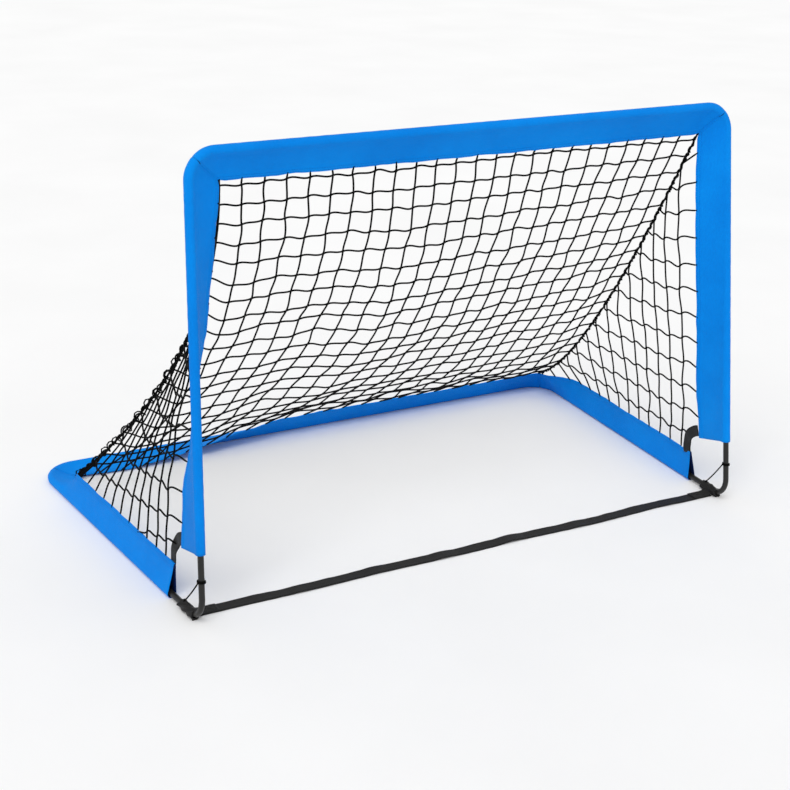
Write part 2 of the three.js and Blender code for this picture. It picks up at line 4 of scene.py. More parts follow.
import bmesh
import bpy
import numpy as np
from mathutils import Matrix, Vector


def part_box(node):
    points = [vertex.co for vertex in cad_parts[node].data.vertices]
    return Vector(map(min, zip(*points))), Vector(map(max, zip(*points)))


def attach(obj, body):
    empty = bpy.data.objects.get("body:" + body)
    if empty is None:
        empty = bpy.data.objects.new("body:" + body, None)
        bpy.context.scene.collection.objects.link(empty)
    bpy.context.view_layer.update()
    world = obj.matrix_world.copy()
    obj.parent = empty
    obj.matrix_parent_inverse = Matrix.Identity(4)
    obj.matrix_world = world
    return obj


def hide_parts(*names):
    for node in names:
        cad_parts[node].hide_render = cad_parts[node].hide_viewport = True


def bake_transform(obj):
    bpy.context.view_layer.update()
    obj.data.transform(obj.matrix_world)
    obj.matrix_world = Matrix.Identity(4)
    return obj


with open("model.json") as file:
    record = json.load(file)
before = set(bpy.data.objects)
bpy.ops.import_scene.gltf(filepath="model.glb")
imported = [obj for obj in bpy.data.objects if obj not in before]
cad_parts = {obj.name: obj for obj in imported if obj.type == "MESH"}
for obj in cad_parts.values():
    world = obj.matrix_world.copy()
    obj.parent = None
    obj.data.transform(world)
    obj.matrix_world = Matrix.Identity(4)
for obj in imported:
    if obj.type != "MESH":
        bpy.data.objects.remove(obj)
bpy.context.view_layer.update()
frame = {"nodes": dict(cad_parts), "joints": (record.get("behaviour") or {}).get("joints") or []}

LEFT, RIGHT = -1, 1
SIDES = (LEFT, RIGHT)
SIDE_NAME = {LEFT: "left", RIGHT: "right"}
BASE, FRONT = "base_frame", "front_frame"

# ---- Sizes, in metres ----

ROD_RADIUS = 0.00575
POCKET_RADIUS = 0.009
FRONT_BEND, TOP_BEND, REAR_BEND = 0.040, 0.050, 0.062
FRONT_LEG_UP, FRONT_LEG_BACK = 0.205, 0.200  # the bare corner rod's two legs
TOP_FERRULE, REAR_FERRULE, JOINT_GAP = 0.095, 0.120, 0.0003

FLAP_REACH = 0.062
SIDE_FLAP_REACH = 0.060
FOOT_FLAP_REACH = 0.084
CROSSBAR_TILT = math.radians(20)  # back from straight down
REAR_TILT, REAR_LEFT_TILT = math.radians(43), math.radians(-4)  # up from lying forward
SIDE_TILT = math.radians(83)
REAR_TWIST = (0.05, 0.5)  # left of the middle, where the rear flap starts and stops turning
CORNER_TWIST = 0.19  # how far from a rear corner the flaps start to turn to meet
UPRIGHT_TILT_TOP = {LEFT: math.radians(18), RIGHT: math.radians(28)}
UPRIGHT_TILT_FOOT = math.radians(91)
UPRIGHT_TWIST = {LEFT: (0.0, 0.85), RIGHT: (0.1, 0.95)}  # parts of the way down
UPRIGHT_WIDEN = (0.45, 0.85)
TOP_BLEND = 0.09  # how far below its mitre an upright's flap turns to meet the crossbar's
TOP_CORNER_IN = {LEFT: 0.064, RIGHT: 0.050}
REAR_CORNER = {LEFT: (0.058, 0.054, -0.004), RIGHT: (0.050, 0.052, 0.046)}  # in, forward, up
FOOT_PART = 0.8457  # the foot of an upright's sleeve, as a part of the way down
FOOT_DROP, FOOT_DROP_RUN = 0.013, 0.07  # how far the flap hangs below the pocket there
SIDE_SLEEVE_START = 0.125
CORNER_ROUND = 0.012  # rounds the inner corner of two flaps
MITRE_GAP = 0.00006
CORD_PULL = {LEFT: (0.400, 0.360, 0.355), RIGHT: (0.565, 0.485, 0.142)}  # out, back and up

STRAP_BACK, STRAP_WIDTH, STRAP_THICKNESS = 0.052, 0.028, 0.0016
LOOP_START, LOOP_END, LOOP_RADIUS = 0.029, 0.082, 0.0084
WEBBING_WIDTH, WEBBING_THICKNESS, WEBBING_BULGE = 0.024, 0.0016, 0.014

CLOTH = 0.0007
STITCH_LENGTH, STITCH_PITCH, THREAD = 0.0031, 0.0048, 0.00036
TWINE = 0.0018
EDGE_CORD = 0.0025
CORNER_CORD = 0.0015


def middle(node):
    low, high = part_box(node)
    return (low + high) / 2


ROD_Z, REAR_Y = middle("rear_rod").z, middle("rear_rod").y
TOP_Y, TOP_Z = middle("crossbar_rod").y, middle("crossbar_rod").z
FRONT_Y = middle("ground_strap").y - STRAP_BACK
STRAP_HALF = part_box("ground_strap")[1].x
FRONT_HALF = STRAP_HALF + LOOP_RADIUS - 0.002
TOP_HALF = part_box("crossbar_rod")[1].x + TOP_FERRULE + JOINT_GAP
REAR_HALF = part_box("rear_rod")[1].x + REAR_FERRULE + JOINT_GAP
FRONT_CENTRE = np.array((0, FRONT_Y, ROD_Z))

# ---- Small helpers ----


def vec(x, y, z):
    return np.array((x, y, z), float)


def unit(v):
    return v / np.maximum(np.linalg.norm(v, axis=-1, keepdims=True), 1e-12)


def dot(a, b):
    return np.sum(a * b, -1, keepdims=True)


def lerp(a, b, part):
    return a + (b - a) * part


def smoothstep(x, start, end):
    part = np.clip((x - start) / (end - start), 0, 1)
    return part * part * (3 - 2 * part)


def run_of(points):
    """How far along a polyline each of its points is."""
    steps = np.linalg.norm(np.diff(points, axis=0), axis=1)
    return np.concatenate(([0], np.cumsum(steps)))


def sample(values, run, places):
    """Values given along a polyline, read at other places along it."""
    return np.stack([np.interp(places, run, values[:, i]) for i in range(3)], -1)


def crossing(line, axis, values):
    """Where a line of points has the values given on one axis."""
    order = np.argsort(line[:, axis])
    return sample(line[order], line[order, axis], values)


def bezier(a, b, c, t):
    t = np.asarray(t, float)[..., None]
    return (1 - t) ** 2 * a + 2 * t * (1 - t) * b + t * t * c


def ripple(x, seed, shortest, longest, count=5):
    """A smooth uneven wave about zero, its height near 1."""
    draw = np.random.default_rng(seed)
    total = np.zeros_like(np.asarray(x, float))
    for _ in range(count):
        length = shortest * (longest / shortest) ** draw.random()
        total += np.sin(2 * math.pi * (np.asarray(x) / length + draw.random())) * draw.uniform(0.5, 1)
    return total / math.sqrt(count)


def front_corner(side):
    return vec(side * FRONT_HALF, FRONT_Y, ROD_Z)


def top_corner(side):
    return vec(side * TOP_HALF, TOP_Y, TOP_Z)


def rear_corner(side):
    return vec(side * REAR_HALF, REAR_Y, ROD_Z)


class Leg:
    """The rod's centre line from a start to a corner, and on round the corner's bend."""

    def __init__(self, start, corner, after, radius):
        self.start, self.radius = start, radius
        self.way = unit(corner - start)
        away = unit(after - corner)
        cosine = float(self.way @ away)
        self.turn = math.acos(cosine)
        self.inward = unit(away - cosine * self.way)
        self.length = float(np.linalg.norm(corner - start))
        self.straight = self.length - radius * math.tan(self.turn / 2)
        self.half = self.straight + radius * self.turn / 2
        self.whole = self.straight + radius * self.turn

    def at(self, distance):
        """The centre and the direction at each distance from the start."""
        s = np.atleast_1d(np.asarray(distance, float))[:, None]
        angle = np.clip((s - self.straight) / self.radius, 0, self.turn)
        run = s - self.radius * angle
        round_bend = self.way * np.sin(angle) + self.inward * (1 - np.cos(angle))
        direction = self.way * np.cos(angle) + self.inward * np.sin(angle)
        beyond = np.maximum(s - self.whole, 0)
        point = self.start + self.way * np.minimum(run, self.straight) + self.radius * round_bend
        return point + direction * beyond, direction


# ---- Mesh building ----


def uv_of(along, across):
    """Texture coordinates for a grid, from a value for each row and one for each column or point."""
    return np.stack(np.broadcast_arrays(along[:, None], across), -1)


class Body:
    """Points and faces gathered from many grids, then made into one mesh."""

    def __init__(self):
        self.points, self.loops, self.sizes, self.materials, self.uvs = [], [], [], [], []
        self.count = 0

    def add_points(self, points):
        """Adds points and returns the first one's index."""
        start = self.count
        self.points.append(np.reshape(points, (-1, 3)))
        self.count += len(self.points[-1])
        return start

    def add_faces(self, faces, material=0, uv=None):
        """Adds faces that all have the same number of corners, with uv for each corner."""
        faces = np.asarray(faces)
        self.loops.append(faces.ravel())
        self.sizes.append(np.full(len(faces), faces.shape[1]))
        self.materials.append(np.broadcast_to(material, len(faces)))
        self.uvs.append(np.zeros((faces.size, 2)) if uv is None else np.reshape(uv, (-1, 2)))

    def grid(self, points, round_ring=False, round_rows=False, material=0, uv=None):
        """A sheet of quads over points[row, column]; uv has one more column or row where it closes."""
        rows, columns = points.shape[:2]
        across = columns if round_ring else columns - 1
        down = rows if round_rows else rows - 1
        start = self.add_points(points)
        index = start + np.arange(rows * columns).reshape(rows, columns)
        i, j = np.meshgrid(np.arange(down), np.arange(across), indexing="ij")
        corners = [(i, j), (i, j + 1), (i + 1, j + 1), (i + 1, j)]
        quads = np.stack([index[a % rows, b % columns] for a, b in corners], -1).reshape(-1, 4)
        if uv is not None:
            uv = np.stack([uv[a, b] for a, b in corners], 2)
        if np.ndim(material):
            material = np.repeat(material[:down], across)
        self.add_faces(quads, material, uv)
        return start

    def ringed(self, rings, uv, material=0):
        """A closed bar over rings of points, with a flat cap at each end."""
        count, sides = rings.shape[:2]
        start = self.grid(rings, round_ring=True, material=material, uv=uv)
        cap = np.arange(sides)
        self.add_faces([start + cap[::-1]], material)
        self.add_faces([start + (count - 1) * sides + cap], material)

    def tube(self, path, radius, sides, beside, lay=None):
        """A round bar along a path; lay(run, angle) gives an uneven radius."""
        run = run_of(path)
        tangent = unit(np.gradient(path, axis=0))
        first = unit(np.cross(tangent, beside))
        second = np.cross(first, tangent)
        angle = np.arange(sides)[::-1] * 2 * math.pi / sides
        reach = np.broadcast_to(radius, len(path))[:, None]
        if lay is not None:
            reach = reach * lay(run[:, None], angle[None, :])
        ring = first[:, None] * np.cos(angle)[:, None] + second[:, None] * np.sin(angle)[:, None]
        uv = uv_of(run, np.linspace(0, 1, sides + 1))
        self.ringed(path[:, None] + ring * reach[..., None], uv)

    def copies(self, template, places, turns, material=0):
        """Copies of a small shape: turns[k] is its three axes as rows, already scaled."""
        shape, faces = template
        start = self.add_points(places[:, None] + np.einsum("pk,nkc->npc", shape, turns))
        offsets = start + np.arange(len(places)) * len(shape)
        for size in sorted({len(face) for face in faces}):
            same = np.array([face for face in faces if len(face) == size])
            self.add_faces((same[None] + offsets[:, None, None]).reshape(-1, size), material)

    def made(self, name, materials, smooth=True):
        """The finished object, linked to the scene."""
        mesh = bpy.data.meshes.new(name)
        points = np.concatenate(self.points)
        loops, sizes = np.concatenate(self.loops), np.concatenate(self.sizes)
        mesh.vertices.add(len(points))
        mesh.vertices.foreach_set("co", points.astype(np.float32).ravel())
        mesh.loops.add(len(loops))
        mesh.loops.foreach_set("vertex_index", loops.astype(np.int32))
        mesh.polygons.add(len(sizes))
        starts = np.concatenate(([0], np.cumsum(sizes)[:-1]))
        mesh.polygons.foreach_set("loop_start", starts.astype(np.int32))
        mesh.polygons.foreach_set("material_index", np.concatenate(self.materials).astype(np.int32))
        mesh.polygons.foreach_set("use_smooth", np.full(len(sizes), smooth))
        layer = mesh.uv_layers.new(name="cloth")
        layer.data.foreach_set("uv", np.concatenate(self.uvs).astype(np.float32).ravel())
        mesh.update(calc_edges=True)
        mesh.validate()
        for material in materials:
            mesh.materials.append(material)
        made = bpy.data.objects.new(name, mesh)
        bpy.context.scene.collection.objects.link(made)
        return made


# ---- Materials ----


class Finish:
    """A material's nodes, made by short calls."""

    def __init__(self, name, **settings):
        self.material = bpy.data.materials.new(name)
        self.material.use_nodes = True
        self.nodes = self.material.node_tree.nodes
        self.links = self.material.node_tree.links
        self.shader = self.nodes["Principled BSDF"]
        for socket, value in settings.items():
            self.shader.inputs[socket.replace("_", " ")].default_value = value

    def node(self, kind, inputs, output=0, **options):
        made = self.nodes.new("ShaderNode" + kind)
        for key, value in options.items():
            setattr(made, key, value)
        for key, value in inputs.items():
            if isinstance(value, bpy.types.NodeSocket):
                self.links.new(value, made.inputs[key])
            else:
                made.inputs[key].default_value = value
        return made.outputs[output]

    def math(self, operation, *values):
        return self.node("Math", dict(enumerate(values)), operation=operation)

    def mix(self, *parts, plus=0.0):
        """The sum of (value, weight) parts and a constant."""
        total = plus
        for value, weight in parts:
            total = self.math("MULTIPLY_ADD", value, weight, total)
        return total

    def along_and_round(self):
        uv = self.node("UVMap", {}, uv_map="cloth")
        split = self.nodes.new("ShaderNodeSeparateXYZ")
        self.links.new(uv, split.inputs[0])
        return split.outputs[0], split.outputs[1]

    def noise(self, scale, detail=2.0, roughness=0.5, stretch=None):
        place = self.node("TexCoord", {}, output=3)
        if stretch is not None:
            place = self.node("VectorMath", {0: place, 1: stretch}, operation="MULTIPLY")
        inputs = {"Vector": place, "Scale": scale, "Detail": detail, "Roughness": roughness}
        return self.node("TexNoise", inputs)

    def wave(self, value, pitch, shift=0.0):
        return self.math("SINE", self.math("MULTIPLY_ADD", value, 2 * math.pi / pitch, shift))

    def colour(self, value, places, colours):
        """Colours by a value, which has each of the colours at its place along 0 to 1."""
        node = self.nodes.new("ShaderNodeValToRGB")
        self.links.new(value, node.inputs[0])
        elements = node.color_ramp.elements
        while len(elements) < len(places):
            elements.new(0.5)
        for element, place, colour in zip(elements, places, colours):
            element.position = place
            element.color = (*colour, 1)
        self.links.new(node.outputs[0], self.shader.inputs["Base Color"])

    def roughness(self, value, low, high):
        spread = self.node("MapRange", {"Value": value, "To Min": low, "To Max": high})
        self.links.new(spread, self.shader.inputs["Roughness"])

    def bump(self, *layers):
        """Layers of (height, how tall it is in metres), from the broadest to the finest."""
        normal = None
        for height, tall in layers:
            inputs = {"Height": height, "Distance": tall, "Strength": 1.0}
            if normal is not None:
                inputs["Normal"] = normal
            normal = self.node("Bump", inputs)
        self.links.new(normal, self.shader.inputs["Normal"])


def linear(red, green, blue):
    """A linear colour from an sRGB one."""
    parts = [c / 255 for c in (red, green, blue)]
    return tuple(c / 12.92 if c < 10 / 255 else ((c + 0.055) / 1.055) ** 2.4 for c in parts)


def greys(tone, *factors):
    return [(tone * factor,) * 3 for factor in factors]


def weave(finish, pitch):
    """The plain over-and-under of warp and weft, from 0 to 1."""
    along, round_it = finish.along_and_round()
    over = finish.math("MULTIPLY", finish.wave(along, pitch), finish.wave(round_it, pitch))
    return finish.math("MULTIPLY_ADD", over, 0.5, 0.5)


def cloth_finish(name, dark, base, light):
    finish = Finish(name, Sheen_Weight=0.01, Sheen_Roughness=0.45, Specular_IOR_Level=0.06)
    cloudy = finish.noise(5.0, 4.0, 0.6)
    threads = finish.noise(420.0, 2.0, 0.7, (1.0, 1.0, 0.35))
    over = weave(finish, 0.00055)
    # The weave's pattern also darkens the colour where threads dip under: painted shade in its hollows.
    tone = finish.mix((cloudy, 0.62), (threads, 0.30), (over, 0.12))
    finish.colour(tone, (0.22, 0.5, 0.78), (dark, base, light))
    finish.roughness(threads, 0.48, 0.70)
    puckers = finish.noise(38.0, 3.0, 0.55)
    creases = finish.noise(11.0, 2.0, 0.5, (1.0, 1.0, 2.2))
    finish.bump((creases, 0.0022), (puckers, 0.0006), (threads, 0.00012), (over, 0.00009))
    return finish.material


def twine_finish(name, colours, pitch, tall=0.00025):
    """Twisted cord, whose strands run slanting round it, from its darkest colour to its lightest."""
    finish = Finish(name, Specular_IOR_Level=0.06)
    along, round_it = finish.along_and_round()
    slant = finish.math("MULTIPLY", round_it, 2 * math.pi * 2)
    lay = finish.wave(along, pitch, slant)
    fuzz = finish.noise(900.0, 2.0, 0.6)
    # The lay's wave lightens the crests of the strands and darkens the grooves between them: painted
    # highlight and painted shade.
    mixed = finish.mix((lay, 0.2), (fuzz, 0.6), plus=0.2)
    finish.colour(mixed, (0.2, 0.55, 0.9), colours)
    finish.roughness(fuzz, 0.5, 0.75)
    finish.bump((lay, tall), (fuzz, 0.0001))
    return finish.material


def webbing_finish(name, tone):
    finish = Finish(name, Sheen_Weight=0.03, Sheen_Roughness=0.4, Specular_IOR_Level=0.25)
    along, round_it = finish.along_and_round()
    ribs = finish.wave(round_it, 0.0016)
    picks = finish.wave(along, 0.0012, finish.math("MULTIPLY", ribs, 1.3))
    woven = finish.math("MULTIPLY_ADD", finish.math("MULTIPLY", picks, ribs), 0.25, 0.5)
    wear = finish.noise(30.0, 4.0, 0.6)
    # The weave's ribs colour the webbing lighter on their tops and darker in their hollows: painted
    # highlight and painted shade.
    mixed = finish.mix((woven, 0.5), (wear, 0.7), plus=0.05)
    finish.colour(mixed, (0.2, 0.5, 0.85), greys(tone, 0.45, 1, 1.9))
    finish.roughness(wear, 0.5, 0.72)
    finish.bump((wear, 0.0006), (woven, 0.00022))
    return finish.material


def rod_finish(name, tone):
    """Pultruded black rod: fine lengthwise streaks under a satin skin."""
    finish = Finish(name, Specular_IOR_Level=0.32, Coat_Weight=0.05, Coat_Roughness=0.3)
    streaks = finish.noise(60.0, 3.0, 0.65, (8.0, 1.0, 8.0))
    specks = finish.noise(500.0, 2.0, 0.6)
    mixed = finish.mix((streaks, 0.65), (specks, 0.35))
    dark, light = greys(tone, 0.5, 1.7)
    finish.colour(mixed, (0.25, 0.55, 0.85), (dark, (tone, tone, tone * 0.94), light))
    finish.roughness(streaks, 0.26, 0.48)
    finish.bump((streaks, 0.00025), (specks, 0.00006))
    return finish.material


def steel_finish(name):
    finish = Finish(name, Metallic=1.0)
    brushed = finish.noise(300.0, 3.0, 0.6, (1.0, 6.0, 1.0))
    blotches = finish.noise(40.0, 3.0, 0.6)
    finish.colour(blotches, (0.3, 0.7), ((0.42, 0.42, 0.43), (0.62, 0.62, 0.61)))
    finish.roughness(brushed, 0.28, 0.5)
    finish.bump((brushed, 0.00008))
    return finish.material


def floor_finish(name):
    finish = Finish(name, Specular_IOR_Level=0.0)
    grain = finish.noise(2.0, 3.0, 0.5)
    finish.colour(grain, (0.3, 0.7), greys(1, 0.92, 0.95))
    finish.roughness(grain, 0.85, 0.95)
    return finish.material


SLEEVE_CLOTH = cloth_finish("sleeve_cloth", linear(0, 113, 207), linear(0, 131, 228), linear(2, 147, 243))
# The inside of the cloth is painted dark navy: painted shade inside the pocket and between the flap's two
# layers.
SHADED_INSIDE_CLOTH = cloth_finish("sleeve_shaded_inside", linear(6, 22, 62), linear(9, 32, 84), linear(14, 44, 104))
SEAM_BLUES = (linear(6, 80, 165), linear(10, 104, 200), linear(40, 140, 230))
SEAM_THREAD = twine_finish("seam_thread", SEAM_BLUES, 0.0006, 0.00005)
TWINE_SHADES = (0.4, 1, 2.2)
NET_TWINE = twine_finish("net_twine", greys(0.0012, *TWINE_SHADES), 0.0032)
CORD_TWINE = twine_finish("cord_twine", greys(0.0016, *TWINE_SHADES), 0.0090, 0.0004)
WEBBING = webbing_finish("webbing_weave", 0.0075)
WEBBING_THREAD = twine_finish("webbing_thread", greys(0.016, *TWINE_SHADES), 0.0006, 0.00005)
ROD = rod_finish("rod_black", 0.012)
STEEL = steel_finish("ferrule_steel")

# ---- Folding: one field about the fold's axis, from the base's pockets to the front's ----

FOLD = next(joint for joint in frame["joints"] if joint["name"] == "front_fold")
FOLD_Y, FOLD_Z = FOLD["pos_m"][1], FOLD["pos_m"][2]
POCKET_CLEAR = 0.0305  # how far the pockets' nearest sides are from a line through the axis
FRONT_RISE = math.atan2(TOP_Z - ROD_Z, TOP_Y - FRONT_Y)


def fold_share(points):
    """0 on the base's pockets, 1 on the front's pockets, and between them by the angle."""
    y, z = points[:, 1] - FOLD_Y, points[:, 2] - FOLD_Z
    margin = np.arcsin(np.minimum(1, POCKET_CLEAR / np.maximum(np.hypot(y, z), 1e-6)))
    angle = np.arctan2(z, y)
    angle = np.where(angle < -math.pi / 2, angle + 2 * math.pi, angle)
    return np.clip((angle + margin) / (FRONT_RISE + 2 * margin), 0, 1)


def soft(piece, node, share=None):
    """Hides the part that a piece replaces and bakes in its placement; it works out each point's share of
    the fold, but nothing applies it.
    """
    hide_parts(node)
    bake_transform(piece)
    points = np.empty(len(piece.data.vertices) * 3, np.float32)
    piece.data.vertices.foreach_get("co", points)
    if share is None:
        share = fold_share(points.reshape(-1, 3).astype(float))


def on_base(piece, node):
    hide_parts(node)
    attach(piece, BASE)


# ---- Small shapes that are copied: a stitch and a knot ----


def stitch_shape():
    """A short round-ended thread along x, of length 1 and radius 1."""
    sides = 5
    points = [(-0.5, 0, -0.6)]
    for x in (-0.3, 0.3):
        for k in range(sides):
            angle = 2 * math.pi * k / sides
            points.append((x, math.cos(angle), math.sin(angle)))
    points.append((0.5, 0, -0.6))
    last = len(points) - 1
    faces = []
    for k in range(sides):
        after = (k + 1) % sides
        faces.append((0, 1 + after, 1 + k))
        faces.append((1 + k, 1 + after, 1 + sides + after, 1 + sides + k))
        faces.append((last, 1 + sides + k, 1 + sides + after))
    return np.array(points, float), faces


def knot_shape():
    """A lump of twine with one turn wound round it, about 1 in radius."""
    ball = bmesh.new()
    bmesh.ops.create_icosphere(ball, subdivisions=2, radius=1)
    points = [tuple(v.co) for v in ball.verts]
    faces = [tuple(v.index for v in f.verts) for f in ball.faces]
    ball.free()
    points = np.array(points)
    groove = 0.86 + 0.14 * np.cos(3 * np.arctan2(points[:, 1], points[:, 0]) + 4.0 * points[:, 2])
    return points * groove[:, None] * np.array((1.0, 0.86, 1.0)), faces


STITCH, KNOT = stitch_shape(), knot_shape()


def stitch_row(body, line, normals, material, margin=0.003):
    """Stitches along a line on a surface."""
    run = run_of(line)
    count = int((run[-1] - 2 * margin) / STITCH_PITCH)
    if count < 1:
        return
    places = margin + STITCH_PITCH * (np.arange(count) + 0.5)
    normal = unit(sample(normals, run, places))
    tail, head = (sample(line, run, places + way * STITCH_LENGTH / 2) for way in (-1, 1))
    along = head - tail
    beside = unit(np.cross(normal, along))
    turns = np.stack((along, beside * THREAD, normal * THREAD), 1)
    body.copies(STITCH, (head + tail) / 2 + normal * THREAD * 0.35, turns, material)


# ---- Sleeves ----


CROSSBAR_DROP = vec(0, FLAP_REACH * math.sin(CROSSBAR_TILT), -FLAP_REACH * math.cos(CROSSBAR_TILT))


def top_inner_corner(side):
    return top_corner(side) + CROSSBAR_DROP - vec(side * TOP_CORNER_IN[side], 0, 0)


def rear_inner_corner(side):
    inward, forward, up = REAR_CORNER[side]
    return rear_corner(side) + vec(-side * inward, -forward, up)


def turned(start, end, part):
    """A reach that turns from one to another about the rod, so that the flap keeps its width."""
    direction = unit(lerp(unit(start), unit(end), part))
    width = lerp(np.linalg.norm(start, axis=-1, keepdims=True), np.linalg.norm(end), part)
    return direction * width


STATION_STEP, BEND_STATIONS = 0.0055, 26


def rounded_stations(leg, start, reach, inner_corner):
    """Centres, edges and directions from the start of a leg to the mitre of its bend."""
    along_leg = float((inner_corner - leg.start) @ leg.way) - CORNER_ROUND
    count = max(int((along_leg - start) / STATION_STEP), 2)
    straight = np.linspace(start, along_leg, count, endpoint=False)
    centre, way = leg.at(straight)
    edge = centre + reach(straight)

    bent_centre, bent_way = leg.at(np.linspace(along_leg, leg.half, BEND_STATIONS))
    first = leg.at([along_leg])[0][0] + reach(np.array([along_leg]))[0]
    mitre_middle, mitre_way = (values[0] for values in leg.at([leg.half]))
    control = lerp(first, inner_corner, math.tan(leg.turn / 4))
    rounding = CORNER_ROUND * (1 / math.cos(leg.turn / 2) - 1) * 0.9
    tip = inner_corner + unit(mitre_middle - inner_corner) * rounding - mitre_way * MITRE_GAP
    bent_edge = bezier(first, control, tip, np.linspace(0, 1, BEND_STATIONS))
    bent_centre[-1] -= mitre_way * MITRE_GAP
    pairs = ((centre, bent_centre), (edge, bent_edge), (way, bent_way))
    return tuple(np.vstack(pair) for pair in pairs)


def joined(left, right):
    """One sleeve from two halves that both run outward from its middle."""
    centre, edge, way = left
    parts = zip((centre[:0:-1], edge[:0:-1], -way[:0:-1]), right)
    return tuple(np.vstack(pair) for pair in parts)


def crossbar_half(side):
    leg = Leg(vec(0, TOP_Y, TOP_Z), top_corner(side), front_corner(side), TOP_BEND)

    def reach(s):
        return np.broadcast_to(CROSSBAR_DROP, (len(s), 3))

    return rounded_stations(leg, 0, reach, top_inner_corner(side))


def upright_reach(side, part):
    """The flap's reach from the upright rod; part is 0 at the top and 1 at the ground."""
    up = unit(top_corner(side) - front_corner(side))
    inward, back = (unit(v - (v @ up) * up) for v in (vec(-side, 0, 0), vec(0, 1, 0)))
    twist = smoothstep(part, *UPRIGHT_TWIST[side])[:, None]
    angle = lerp(UPRIGHT_TILT_TOP[side], UPRIGHT_TILT_FOOT, twist)
    width = lerp(FLAP_REACH, FOOT_FLAP_REACH, smoothstep(part, *UPRIGHT_WIDEN)[:, None])
    return (inward * np.cos(angle) + back * np.sin(angle)) * width


def upright_stations(side):
    front, top = front_corner(side), top_corner(side)
    whole = np.linalg.norm(top - front)
    foot = lerp(top, front, FOOT_PART)
    leg = Leg(foot, top, top_corner(-side), TOP_BEND)
    corner = top_inner_corner(side)
    corner_run = float((corner - foot) @ leg.way)
    last = corner - (foot + leg.way * corner_run)

    def reach(s):
        bare = upright_reach(side, FOOT_PART - s / whole)
        part = smoothstep(s, corner_run - TOP_BLEND, corner_run)[:, None]
        drop = FOOT_DROP * (1 - smoothstep(s, 0, FOOT_DROP_RUN))[:, None]
        return turned(bare, last, part) - leg.way * drop

    return rounded_stations(leg, 0, reach, corner)


def side_stations(side):
    front, rear = front_corner(side), rear_corner(side)
    leg = Leg(front, rear, rear_corner(-side), REAR_BEND)
    corner = rear_inner_corner(side)
    corner_run = float((corner - front) @ leg.way)
    last = corner - (front + leg.way * corner_run)
    stand = vec(-side * math.cos(SIDE_TILT), 0, math.sin(SIDE_TILT)) * SIDE_FLAP_REACH

    def reach(s):
        part = smoothstep(s, leg.length - CORNER_TWIST, corner_run)[:, None]
        if side == LEFT:
            return lerp(stand, last, part)
        return turned(np.broadcast_to(stand, (len(s), 3)), last, part)

    return rounded_stations(leg, SIDE_SLEEVE_START, reach, corner)


def rear_reach(x, side):
    """The flap's reach from the rear rod; it stands up at the right and lies down at the left."""
    twist = smoothstep(-x, *REAR_TWIST)[:, None]
    tilt = lerp(REAR_TILT, REAR_LEFT_TILT, twist)
    stand = np.hstack((np.zeros_like(tilt), -FLAP_REACH * np.cos(tilt), FLAP_REACH * np.sin(tilt)))
    last = rear_inner_corner(side) - rear_corner(side)
    last[0] = 0
    part = smoothstep(np.abs(x), REAR_HALF - CORNER_TWIST, REAR_HALF - REAR_CORNER[side][0])[:, None]
    return turned(stand, last, part)


def rear_half(side):
    leg = Leg(vec(0, REAR_Y, ROD_Z), rear_corner(side), front_corner(side), REAR_BEND)

    def reach(s):
        return rear_reach(side * s, side)

    return rounded_stations(leg, 0, reach, rear_inner_corner(side))


HEM_STEPS = np.array((9.6, 9.2, 8.6, 8.0, 7.4, 5.5, 3.6, 3.0, 2.4, 1.0, 0.3, 0.0)) / 1000
HEM_LIFTS = np.array((0.0, 0.30, 0.30, 0.02, 0.30, 0.34, 0.30, 0.02, 0.28, 0.22, 0.0, -0.45)) / 1000
STITCHED_STEPS = (7, 3)  # the hem steps that the stitches lie on
FLAP_STEPS = 9
ARC_STEPS = 22


def section(reach, power, thin):
    """Each ring's outline, from the edge to the pocket and back on the other face: u out, v across."""
    reach, power = reach[:, None], power[:, None]
    theta = np.arctan2(reach, power * (POCKET_RADIUS - thin))
    u0, v0 = POCKET_RADIUS * np.cos(theta), POCKET_RADIUS * np.sin(theta)
    part = (np.arange(1, FLAP_STEPS + 1) / (FLAP_STEPS + 1)) ** 1.25
    u_side = np.hstack((lerp(u0, reach - HEM_STEPS[0], part), reach - HEM_STEPS))
    x = (u_side - u0) / (reach - u0)
    v_side = thin + (v0 - thin) * np.clip(1 - x, 0, 1) ** power
    v_side[:, FLAP_STEPS:] += HEM_LIFTS
    angle = theta + (2 * math.pi - 2 * theta) * np.linspace(0, 1, ARC_STEPS + 1)
    u = np.hstack((u_side[:, ::-1], POCKET_RADIUS * np.cos(angle), u_side))
    v = np.hstack((v_side[:, ::-1], POCKET_RADIUS * np.sin(angle), -v_side))
    return u, v


def sleeve_shaded_inside(u, v, reach):
    """The inside of the cloth, round the same ring."""
    radius = np.hypot(u, v)
    shrink = (POCKET_RADIUS - CLOTH) / POCKET_RADIUS
    in_pocket = radius < POCKET_RADIUS * 1.02
    thinner = np.sign(v) * np.maximum(np.abs(v) - CLOTH, 0.0001)
    u_in = np.minimum(u, reach[:, None] - HEM_STEPS[0] - (reach[:, None] - u) * 0.02 - 0.0005)
    return np.where(in_pocket, u * shrink, u_in), np.where(in_pocket, v * shrink, thinner)


